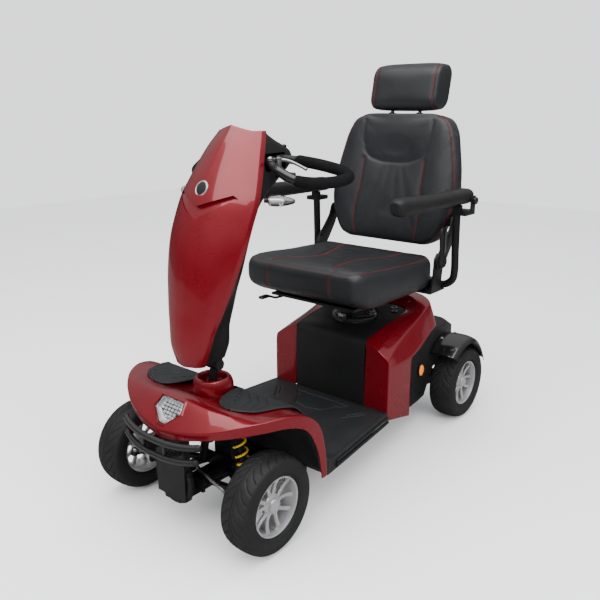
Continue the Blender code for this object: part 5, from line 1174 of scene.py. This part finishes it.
def rear_spring(word, side):
    foot, head = np.array((-0.505, side * 0.100, 0.1583)), np.array((-0.505, side * 0.100, 0.2997))
    run = head - foot
    shape = Shape().tube([foot + run * t for t in (0.01, 0.99)], 0.0070, 24, round_end=0.05)
    for t in (0.0, 0.96):
        shape.turned(REAR_PLATE, foot + run * t, run, 36)
    damper = piece(f"rear_{word}_damper", shape, "chassis", "black_steel", [f"rear_spring_{word}"])
    spring = piece(f"rear_{word}_spring", coil(foot, head, 0.065, 0.935), "chassis", "yellow_paint")
    for obj in (damper, spring):
        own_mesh(obj)


def tie_rods():
    """Threaded rods with lock nuts and sealed joints, on the centres that the CAD links have."""
    for word, _ in SIDES:
        corners = np.array([v.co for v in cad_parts[f"tie_rod_{word}"].data.vertices])
        reach, eye = np.abs(corners[:, 1]), 0.0196
        inner = corners[reach < reach.min() + eye].mean(axis=0)
        outer = corners[reach > reach.max() - eye].mean(axis=0)
        run = outer - inner
        unit = run / np.linalg.norm(run)
        shape = Shape().tube([inner + unit * 0.008, outer - unit * 0.008], 0.0050, 20)
        for t in (0.020, np.linalg.norm(run) - 0.027):
            shape.turned([(0, 0), (0.0074, 0), (0.0080, 0.0008), (0.0080, 0.0060), (0.0074, 0.0068),
                          (0, 0.0068)],
                         inner + unit * t, unit, 6)
        for end in (inner, outer):
            shape.turned([(0.0042, -0.0041), (0.0090, -0.0041), (0.0098, -0.0030), (0.0098, 0.0030),
                          (0.0090, 0.0041), (0.0042, 0.0041)], end, STEER_UP, 28, closed=True)
        piece(f"tie_rod_fine_{word}", shape, f"front_{word}_tie_rod", "zinc_steel", [f"tie_rod_{word}"])


# ------------------------------------------------------------------ upholstery
def rounded_ring(centre, across, up, half_width, half_height, corner, steps=9, flats=10):
    """A rounded rectangle, with flats points along each side between its corners."""
    points = []
    turns = ((1, 1), (-1, 1), (-1, -1), (1, -1))
    inset = np.array((half_width - corner, half_height - corner))
    for quarter, signs in enumerate(turns):
        for k in range(steps + 1):
            a = (quarter + k / steps) * math.pi / 2
            points.append(inset * signs + (corner * math.cos(a), corner * math.sin(a)))
        out = np.array(((0, 1), (-1, 0), (0, -1), (1, 0))[quarter])    # where this side faces
        start_of_next = inset * turns[(quarter + 1) % 4] + corner * out
        points += list(np.linspace(points[-1], start_of_next, flats + 2)[1:-1])
    points = np.array(points)
    return np.asarray(centre, float) + points[:, :1] * np.array(across) + points[:, 1:] * np.array(up)


def surface_of(mesh):
    """A tree for finding points on the mesh."""
    bm = bmesh.new()
    bm.from_mesh(mesh)
    tree = BVHTree.FromBMesh(bm)
    bm.free()
    return tree


def laid(tree, line, toward, step):
    """Points and normals on a surface along a line, found by looking along a direction; evenly spaced."""
    line = spline(line, 10)
    gaps = np.r_[0, np.cumsum(np.linalg.norm(np.diff(line, axis=0), axis=1))]
    count = max(2, int(gaps[-1] / step))
    even = np.stack([np.interp(np.linspace(0, gaps[-1], count), gaps, line[:, k]) for k in range(3)], axis=1)
    toward = Vector(toward).normalized() if toward is not None else None
    points, normals = [], []
    for p in even:
        if toward is None:
            at, normal, _, _ = tree.find_nearest(Vector(p))
        else:
            at, normal, _, _ = tree.ray_cast(Vector(p) - toward * 0.15, toward)
            if at is None:
                at, normal, _, _ = tree.find_nearest(Vector(p))
        points.append(at)
        normals.append(normal)
    return np.array(points), np.array(normals)


def stitched(shape, tree, line, toward=None, rows=(-1, 1)):
    """Rows of short stitches along a seam."""
    pitch, apart, thick, sink = 0.0058, 0.0024, 0.00045, 0.0004
    points, normals = laid(tree, line, toward, pitch)
    flow = np.gradient(points, axis=0)
    flow /= np.maximum(np.linalg.norm(flow, axis=1), 1e-6)[:, None]
    for p, n, f in zip(points, normals, flow):
        for row in rows:
            foot, _, _, _ = tree.find_nearest(Vector(p + np.cross(n, f) * apart * row))
            foot = np.array(foot) + n * 0.0002
            half = f * pitch * 0.33
            bow = ((-1, -sink), (-0.5, sink), (0.5, sink), (1, -sink))
            shape.tube([foot + half * share + n * lift for share, lift in bow], thick, 6, round_end=0.2)
    return shape


def inflated(obj, held, pressure=4.0, frames=20):
    """Where a cloth simulation puts the vertices when the object is blown up and the held ones stay."""
    group = obj.vertex_groups.new(name="held")
    group.add(np.nonzero(held)[0].tolist(), 1.0, "REPLACE")
    cloth = obj.modifiers.new("cloth", "CLOTH")
    settings = cloth.settings
    settings.quality, settings.mass = 4, 0.3
    settings.tension_stiffness = settings.compression_stiffness = 25
    settings.shear_stiffness, settings.bending_stiffness = 10, 2.0
    settings.use_pressure, settings.uniform_pressure_force = True, pressure
    settings.vertex_group_mass = "held"
    settings.effector_weights.gravity = 0
    cloth.point_cache.frame_start, cloth.point_cache.frame_end = 1, frames
    for k in range(1, frames + 1):
        bpy.context.scene.frame_set(k)
    evaluated = obj.evaluated_get(bpy.context.evaluated_depsgraph_get())
    moved = np.array([v.co for v in evaluated.to_mesh().vertices])
    evaluated.to_mesh_clear()
    bpy.context.scene.frame_set(1)
    obj.modifiers.remove(cloth)
    return moved


def stuffed(shape, seams, held, voxel=0.006, most=0.006, trench=0.0030):
    """A cushion inflated as cloth by up to most, its held side kept in place and its seams sunk in."""
    obj = temporary(shape.mesh("cushion"))
    even = obj.modifiers.new("even", "REMESH")
    even.mode, even.voxel_size, even.use_smooth_shade = "VOXEL", voxel, True
    obj = temporary(applied(obj))
    base = np.array([v.co for v in obj.data.vertices])
    normals = np.array([v.normal for v in obj.data.vertices])
    tree = surface_of(obj.data)
    near = np.full(len(base), 1.0)    # distance to the nearest seam
    for line, toward in seams:
        points, _ = laid(tree, line, toward, 0.004)
        for block in np.array_split(np.arange(len(base)), len(base) // 4000 + 1):
            gaps = np.linalg.norm(base[block][:, None] - points[None], axis=2)
            near[block] = np.minimum(near[block], gaps.min(axis=1))
    moved = inflated(obj, (near < 0.005) | held(base))
    step = moved - base
    step *= np.minimum(1, most / np.maximum(np.linalg.norm(step, axis=1), 1e-9))[:, None]
    dip = np.clip(1 - near / 0.012, 0, 1) ** 1.6 * trench
    obj.data.vertices.foreach_set("co", (base + step - normals * dip[:, None]).ravel())
    obj.data.update()
    fine = obj.modifiers.new("fine", "SUBSURF")
    fine.levels = fine.render_levels = 1
    return applied(obj)


def mirrored(line):
    """The line on the other side."""
    return [sided(p, -1) for p in line]


def seat_cushion():
    def ring(x, half, low, high, corner):
        return rounded_ring((x, 0, (low + high) / 2), (0, 1, 0), (0, 0, 1), half, (high - low) / 2, corner)

    stations = [(0.092, 0.165, 0.560, 0.600, 0.019), (0.085, 0.205, 0.545, 0.618, 0.028),
                (0.060, 0.224, 0.530, 0.632, 0.034), (0.000, 0.228, 0.506, 0.634, 0.038),
                (-0.120, 0.229, 0.5040, 0.626, 0.036), (-0.260, 0.229, 0.5040, 0.620, 0.036),
                (-0.335, 0.222, 0.5045, 0.617, 0.034), (-0.355, 0.200, 0.520, 0.603, 0.028)]
    rows = refined([ring(*s) for s in stations], 4, 1)
    top = rows[:, :, 2]
    # the sitting surface dishes a little between raised sides
    sit = np.clip((top - 0.59) / 0.03, 0, 1)
    side = np.clip(np.abs(rows[:, :, 1]) / 0.21, 0, 1)
    middle = np.clip((0.05 - rows[:, :, 0]) / 0.08, 0, 1) * np.clip((rows[:, :, 0] + 0.34) / 0.08, 0, 1)
    rows[:, :, 2] -= sit * middle * 0.009 * np.cos(side * math.pi / 2)
    shape = Shape().rings(rows)
    front = [(0.083, 0.119, 0.618), (0.090, 0.120, 0.585), (0.080, 0.121, 0.545)]
    edge = [(0.040, 0.212, 0.628), (0.072, 0.180, 0.625), (0.078, 0.10, 0.624), (0.080, 0.0, 0.624)]
    flank = [(0.040, 0.212, 0.628), (-0.020, 0.220, 0.626), (-0.12, 0.222, 0.620), (-0.24, 0.222, 0.614),
             (-0.32, 0.214, 0.610)]
    panel = [(0.066, 0.119, 0.64), (0.020, 0.098, 0.64), (-0.040, 0.078, 0.64), (-0.110, 0.066, 0.64),
             (-0.200, 0.090, 0.64), (-0.280, 0.116, 0.64), (-0.330, 0.122, 0.64)]
    seams = []
    for line, toward in ((front, (-1, 0, 0)), (edge, None), (flank, None), (panel, (0, 0, -1))):
        seams += [(line, toward), (mirrored(line), toward)]
    mesh = stuffed(shape, seams, lambda p: p[:, 2] < 0.512)
    obj = piece("cushion_seat", mesh, "seat", "leather", ["seat_cushion"], smooth=180)
    tree = surface_of(mesh)
    thread = Shape()
    for line, toward in seams[:2] + seams[6:]:
        stitched(thread, tree, line, toward)
    for line, toward in seams[2:6]:
        stitched(thread, tree, line, toward, rows=(1,) if line[0][1] > 0 else (-1,))
    piece("cushion_seat_stitches", thread, "seat", "red_paint", material=THREAD)


# the headrest's left post where it leaves the backrest, and its direction
POST_FOOT, POST_LEAN = np.array((-0.4965, 0.055, 1.010)), np.array((-0.201, 0, 0.980))
# the backrest from the bottom up: height, half-width, x of its front, thickness and corner radius
BACK_LINE = [
    (0.636, 0.165, -0.392, 0.066, 0.030), (0.655, 0.197, -0.382, 0.088, 0.036),
    (0.720, 0.232, -0.386, 0.098, 0.042), (0.785, 0.2500, -0.398, 0.100, 0.044),
    (0.866, 0.245, -0.418, 0.098, 0.042), (0.940, 0.231, -0.436, 0.092, 0.040),
    (1.015, 0.211, -0.452, 0.084, 0.036), (1.050, 0.188, -0.462, 0.070, 0.032),
    (1.066, 0.148, -0.474, 0.044, 0.020),
]


def backrest():
    rings = []
    for z, half, x, thick, corner in BACK_LINE:
        rings.append(rounded_ring((x - thick / 2, 0, z), (0, 1, 0), (1, 0, 0), half, thick / 2, corner))
    rows = refined(rings, 4, 1)
    # the middle of the front dishes between raised wings
    front = np.clip((rows[:, :, 0] - rows[:, :, 0].mean(axis=1, keepdims=True)) / 0.03, 0, 1)
    inside = np.clip(1 - np.abs(rows[:, :, 1]) / 0.15, 0, 1)
    level = np.clip((rows[:, :, 2] - 0.66) / 0.08, 0, 1) * np.clip((1.02 - rows[:, :, 2]) / 0.08, 0, 1)
    rows[:, :, 0] -= front * level * 0.014 * inside ** 0.6
    shape = Shape().rings(rows)
    hood = [(-0.4, 0.134, 1.045), (-0.4, 0.134, 1.009), (-0.4, 0.128, 0.965), (-0.4, 0.108, 0.926),
            (-0.4, 0.055, 0.9060), (-0.4, 0.0, 0.9040)]
    wing = [(-0.4, 0.121, 0.912), (-0.4, 0.123, 0.820), (-0.4, 0.132, 0.740), (-0.4, 0.123, 0.652)]
    rim = [(-0.47, 0.145, 1.062), (-0.46, 0.190, 1.042), (-0.45, 0.213, 0.995), (-0.44, 0.230, 0.930),
           (-0.43, 0.243, 0.86), (-0.42, 0.246, 0.79), (-0.41, 0.230, 0.72), (-0.40, 0.192, 0.655)]
    seams = []
    for line in (hood, wing):
        seams += [(line, (-1, 0, 0)), (mirrored(line), (-1, 0, 0))]
    seams += [(rim, None), (mirrored(rim), None)]
    mesh = stuffed(shape, seams, lambda p: p[:, 2] < 0.640, most=0.0055)
    bores = []
    for _, side in SIDES:
        foot = sided(POST_FOOT, side)
        bores.append(Shape().tube([foot - POST_LEAN * 0.107, foot + POST_LEAN * 0.10], 0.0069, 20,
                                  round_end=0.1))
    mesh = less(mesh, *bores)
    obj = piece("backrest_pad", mesh, "back", "leather", ["backrest"], smooth=60)
    tree = surface_of(mesh)
    thread = Shape()
    for line, toward in seams[2:4]:
        stitched(thread, tree, line, toward)
    for line, toward in seams[4:]:
        stitched(thread, tree, line, toward)
    piece("backrest_stitches", thread, "back", "red_paint", material=THREAD)
    shell = Shape()
    # brackets to the hinge, a moulded back panel and guides for the headrest's posts
    for _, side in SIDES:
        outline = spline([(-0.324, 0.588), (-0.338, 0.574), (-0.362, 0.574), (-0.376, 0.588), (-0.452, 0.700),
                          (-0.452, 0.740), (-0.418, 0.740), (-0.400, 0.700), (-0.324, 0.612)], 3, closed=True)
        low, high = sorted((-side * 0.2446, -side * 0.2506))
        shell.slab(outline, low, high, 0.0010, UPRIGHT)
        shell.side_block(side, (-0.450, 0.19, 0.706), (-0.420, 0.2500, 0.738), 0.002)
        for z in (0.712, 0.730):
            shell.bolt((-0.436, side * 0.2506, z), (0, side, 0), 0.0048)
        shell.turned([(0.0070, -0.004), (0.0125, -0.004), (0.0125, 0.0055), (0.0110, 0.0070),
                      (0.0070, 0.0070)],
                     sided(POST_FOOT, side) + POST_LEAN * 0.052, POST_LEAN, 28, closed=True)
    piece("backrest_brackets", shell, "back", "black_steel")
    rows = []
    for z, half, x, thick, _ in BACK_LINE[1:-1]:
        rows.append([(x - thick - 0.0025 - 0.004 * math.cos(t * math.pi / 2), half * 0.80 * t, z)
                     for t in np.linspace(-1, 1, 9)])
    mesh = shelled([refined(rows, 4, 4)], wall=0.0022, mirror=False, outward=(-1, 0, 0))
    piece("backrest_panel", mesh, "back", "black_satin", smooth=40)


def headrest():
    lean = POST_LEAN / np.linalg.norm(POST_LEAN)
    centre = np.array((-0.5320, 0, 1.153))
    rings = []
    for y, grow in ((-0.134, 0.70), (-0.127, 0.93), (-0.095, 1.0), (0.0, 1.01), (0.095, 1.0), (0.127, 0.93),
                    (0.134, 0.70)):
        rings.append(rounded_ring(centre + (0, y, 0), (1, 0, 0), lean, 0.050 * grow, 0.079 * grow,
                                  0.040 * grow, flats=4))
    shape = Shape().rings(refined(rings, 6, 1))
    seams = []
    for side in (1, -1):
        loop = [sided(centre + (math.cos(a) * 0.060, 0.115, math.sin(a) * 0.085), side)
                for a in np.linspace(-0.5 * np.pi, 0.9 * np.pi, 12)]
        seams.append((loop, None))
    mesh = stuffed(shape, seams, lambda p: p[:, 2] < 1.06, most=0.004, voxel=0.005, trench=0.0026)
    obj = piece("headrest_pad", mesh, "head", "leather", ["headrest"], smooth=180)
    tree = surface_of(mesh)
    thread = Shape()
    for line, toward in seams:
        stitched(thread, tree, line, toward)
    piece("headrest_stitches", thread, "head", "red_paint", material=THREAD)
    rods = Shape()
    for _, side in SIDES:
        foot = sided(POST_FOOT, side)
        rods.tube([foot - lean * 0.095, foot + lean * 0.100], 0.0060, 24, round_end=0.3)
    piece("headrest_posts", rods, "head", "zinc_steel")


def armrest(word, side):
    line = [(-0.385, 0.100, 0.513), (-0.385, 0.160, 0.513), (-0.385, 0.215, 0.513), (-0.385, 0.255, 0.519),
            (-0.383, 0.278, 0.538), (-0.380, 0.285, 0.565), (-0.376, 0.285, 0.64), (-0.371, 0.285, 0.760)]
    post = Shape().tube(spline(sided(line, side), 8), 0.0124, 28, round_end=0.2)
    for low, high in (((-0.424, 0.2725, 0.7550), (-0.357, 0.3226, 0.7700)),
                      ((-0.380, 0.2740, 0.7640), (-0.358, 0.3000, 0.7872)),
                      ((-0.424, 0.3168, 0.7600), (-0.396, 0.3225, 0.8150))):
        post.side_block(side, low, high, 0.0016)
    pin = np.array((-0.410, 0.0, 0.800))
    post.turned([(0, 0.2950), (0.0060, 0.2950), (0.0060, 0.3210), (0, 0.3210)], pin, (0, side, 0), 20)
    piece(f"armrest_tube_{word}", post, f"{word}_arm_post", "black_steel", [f"armrest_post_{word}"])
    knob = Shape().turned([(0, 0.3222), (0.0112, 0.3222), (0.0120, 0.3235), (0.0120, 0.3310),
                           (0.0105, 0.3330), (0.0060, 0.3338), (0, 0.3339)], pin, (0, side, 0), 12)
    piece(f"armrest_knob_{word}", knob, f"{word}_arm_post", "black_gloss")

    def ring(x, low, high, half, corner):
        return rounded_ring((x, side * 0.2862, (low + high) / 2), (0, 1, 0), (0, 0, 1), half,
                            (high - low) / 2, corner, flats=4)

    stations = [(-0.432, 0.797, 0.826, 0.023, 0.013), (-0.424, 0.790, 0.834, 0.0285, 0.0195),
                (-0.340, 0.789, 0.836, 0.0300, 0.0215), (-0.180, 0.789, 0.836, 0.0300, 0.0215),
                (-0.060, 0.789, 0.842, 0.0302, 0.0235), (-0.025, 0.790, 0.844, 0.0300, 0.0240),
                (-0.008, 0.792, 0.842, 0.0272, 0.0220), (0.003, 0.796, 0.838, 0.0215, 0.0185),
                (0.009, 0.803, 0.832, 0.0125, 0.0110)]
    shape = Shape().rings(refined([ring(*s) for s in stations], 5, 1))
    hole = Shape().tube([pin + (0, side * 0.2940, 0), pin + (0, side * 0.34, 0)], 0.0066, 20, round_end=0.05)
    mesh = less(stuffed(shape, [], lambda p: p[:, 2] < 0.7925, voxel=0.004, most=0.0012, trench=0), hole)
    obj = piece(f"armrest_pad_fine_{word}", mesh, f"{word}_arm_pad", "black_satin", [f"armrest_pad_{word}"],
                smooth=60)


def seat_levers():
    shape = Shape().tube(spline([(-0.045, -0.140, 0.4885), (0.000, -0.143, 0.4875), (0.024, -0.146, 0.4885),
                                 (0.053, -0.150, 0.4985), (0.086, -0.153, 0.4980)], 6), 0.0040, 20)
    shape.block((0.052, -0.162, 0.4955), (0.090, -0.142, 0.5045), 0.0036)
    piece("swivel_lever_fine", shape, "seat_lever", "black_gloss", ["swivel_lever"])
    hinge = np.array((-0.350, 0, 0.600))
    handle = Shape().turned([(0, 0.2512), (0.0200, 0.2512), (0.0205, 0.2585), (0.0185, 0.2618),
                             (0.0090, 0.2625), (0, 0.2625)], hinge, (0, 1, 0), 40)
    outline = spline([(-0.366, 0.602), (-0.334, 0.602), (-0.327, 0.650), (-0.324, 0.694), (-0.333, 0.712),
                      (-0.354, 0.711), (-0.364, 0.694), (-0.365, 0.650)], 4, closed=True)
    handle.slab(outline, -0.2610, -0.2530, 0.0016, UPRIGHT)
    piece("recline_lever_fine", handle, "recliner", "black_satin", ["recline_lever"])
    # a narrower copy of the handle's outline, inset in its face
    inset = [(-0.345 + (x + 0.345) * 0.55, 0.658 + (z - 0.640) * 0.72) for x, z in outline]
    slot = Shape().slab(inset, -0.2614, -0.2604, 0.0003, UPRIGHT)
    piece("recline_lever_inset", slot, "recliner", "black_gloss")


# ------------------------------------------------------------------ assembly
def carried_over():
    """CAD nodes that stay as they are take a procedural finish."""
    finishes = {
        "black_steel": ("main_frame", "steering_shaft", "transaxle", "seat_swivel", "seat_frame",
                        "front_arm_left", "front_arm_right", "front_knuckle_left", "front_knuckle_right"),
        "black_satin": ("floor_pan", "battery_pack"),
        "yellow_paint": ("freewheel_lever",),
        "zinc_steel": ("ignition_key",),
    }
    for slot, names in finishes.items():
        for name in names:
            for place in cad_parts[name].material_slots:
                place.material = LOOKS[slot]


def build():
    for make in (front_cowl, steering_collar, floor_mat, deck_sides, deck_end, front_bumper, battery_cover,
                 seat_post_boot, rear_body, tiller_front_cover, tiller_rear_cover, tiller_column, handlebar,
                 brake_lever, throttle_lever, speed_knob, wheels, tie_rods):
        make()
    for word, side in SIDES:
        for make in (side_cowl, side_reflector, rear_fender, indicator, coilover, rear_spring, armrest):
            make(word, side)
    for make in (seat_cushion, backrest, headrest, seat_levers, carried_over):
        make()


def dimmer_in_reflections(tree, plain, reflected, output):
    """Wires two shaders to an output: reflected is what glossy rays see, plain what all others see."""
    path, mix = tree.nodes.new("ShaderNodeLightPath"), tree.nodes.new("ShaderNodeMixShader")
    sources = (path.outputs["Is Glossy Ray"], plain.outputs[0], reflected.outputs[0])
    for source, socket in zip(sources, mix.inputs):
        tree.links.new(source, socket)
    tree.links.new(mix.outputs["Shader"], tree.nodes[output].inputs["Surface"])


def surroundings():
    """Even pale surroundings; shiny surfaces see a dim room with a bright ceiling, to keep the paint deep."""
    world = bpy.data.worlds.new("surroundings")
    world.use_nodes = True
    tree = world.node_tree
    backdrop = tuned(tree.nodes["Background"], {"Color": (0.96, 0.97, 1.0, 1), "Strength": 1.75})
    where, split = tree.nodes.new("ShaderNodeTexCoord"), tree.nodes.new("ShaderNodeSeparateXYZ")
    height = tuned(tree.nodes.new("ShaderNodeMapRange"), {"From Min": 0.05, "From Max": 0.95, "To Min": 0.08,
                                                          "To Max": 1.2})
    room = tree.nodes.new("ShaderNodeBackground")
    tree.links.new(where.outputs["Generated"], split.inputs["Vector"])
    tree.links.new(split.outputs["Z"], height.inputs["Value"])
    tree.links.new(height.outputs["Result"], room.inputs["Strength"])
    dimmer_in_reflections(tree, backdrop, room, "World Output")
    bpy.context.scene.world = world


def staged(name, data):
    """An object of the studio, which isn't part of the scooter."""
    obj = bpy.data.objects.new(name, data)
    bpy.context.scene.collection.objects.link(obj)
    return obj


def floor():
    reach, drop = 6, 0.0006
    mesh = Shape().grid([[(x, y, -drop) for y in (-reach, 0, reach)]
                         for x in (-reach, 0, reach)]).mesh("floor")
    paper = look("floor", (0.88, 0.88, 0.88), 0.6, vary=0.004, specular=0.0)
    dull = tuned(paper.node_tree.nodes.new("ShaderNodeBsdfDiffuse"), {"Color": (0.16, 0.155, 0.15, 1)})
    dimmer_in_reflections(paper.node_tree, paper.node_tree.nodes["Principled BSDF"], dull, "Material Output")
    mesh.materials.append(paper)
    staged("floor", mesh)


def turned_to(obj, direction):
    """The object, looking along a direction."""
    obj.rotation_euler = Vector(direction).to_track_quat("-Z", "Y").to_euler()
    return obj


def softbox(name, at, target, size, power, in_reflections=False):
    light = bpy.data.lights.new(name, "AREA")
    light.shape, light.size, light.size_y, light.energy = "RECTANGLE", *size, power
    lamp = turned_to(staged(name, light), Vector(target) - Vector(at))
    lamp.location, lamp.visible_glossy = at, in_reflections


def camera():
    """Looks down on the scooter from the front left."""
    yaw, pitch = math.radians(219.41), math.radians(-16.03)
    lens = bpy.data.cameras.new("camera")
    lens.sensor_width, lens.lens = 36, 40.42
    eye = bpy.data.objects.new("camera", lens)
    eye.location = (1.612, 1.2635, 1.0893)
    turned_to(eye, (math.cos(yaw) * math.cos(pitch), math.sin(yaw) * math.cos(pitch), math.sin(pitch)))
    bpy.context.scene.collection.objects.link(eye)
    bpy.context.scene.camera = eye


def studio():
    surroundings()
    floor()
    softbox("over", (0.9, 0.3, 3.2), (0.0, 0.0, 0.5), (3.4, 3.4), 120, in_reflections=True)
    softbox("side", (0.6, 3.2, 1.7), (0.0, 0.0, 0.5), (1.6, 2.2), 70)
    softbox("front", (3.4, -0.6, 2.0), (0.2, 0.0, 0.5), (1.6, 1.6), 60)
    camera()


build()
studio()
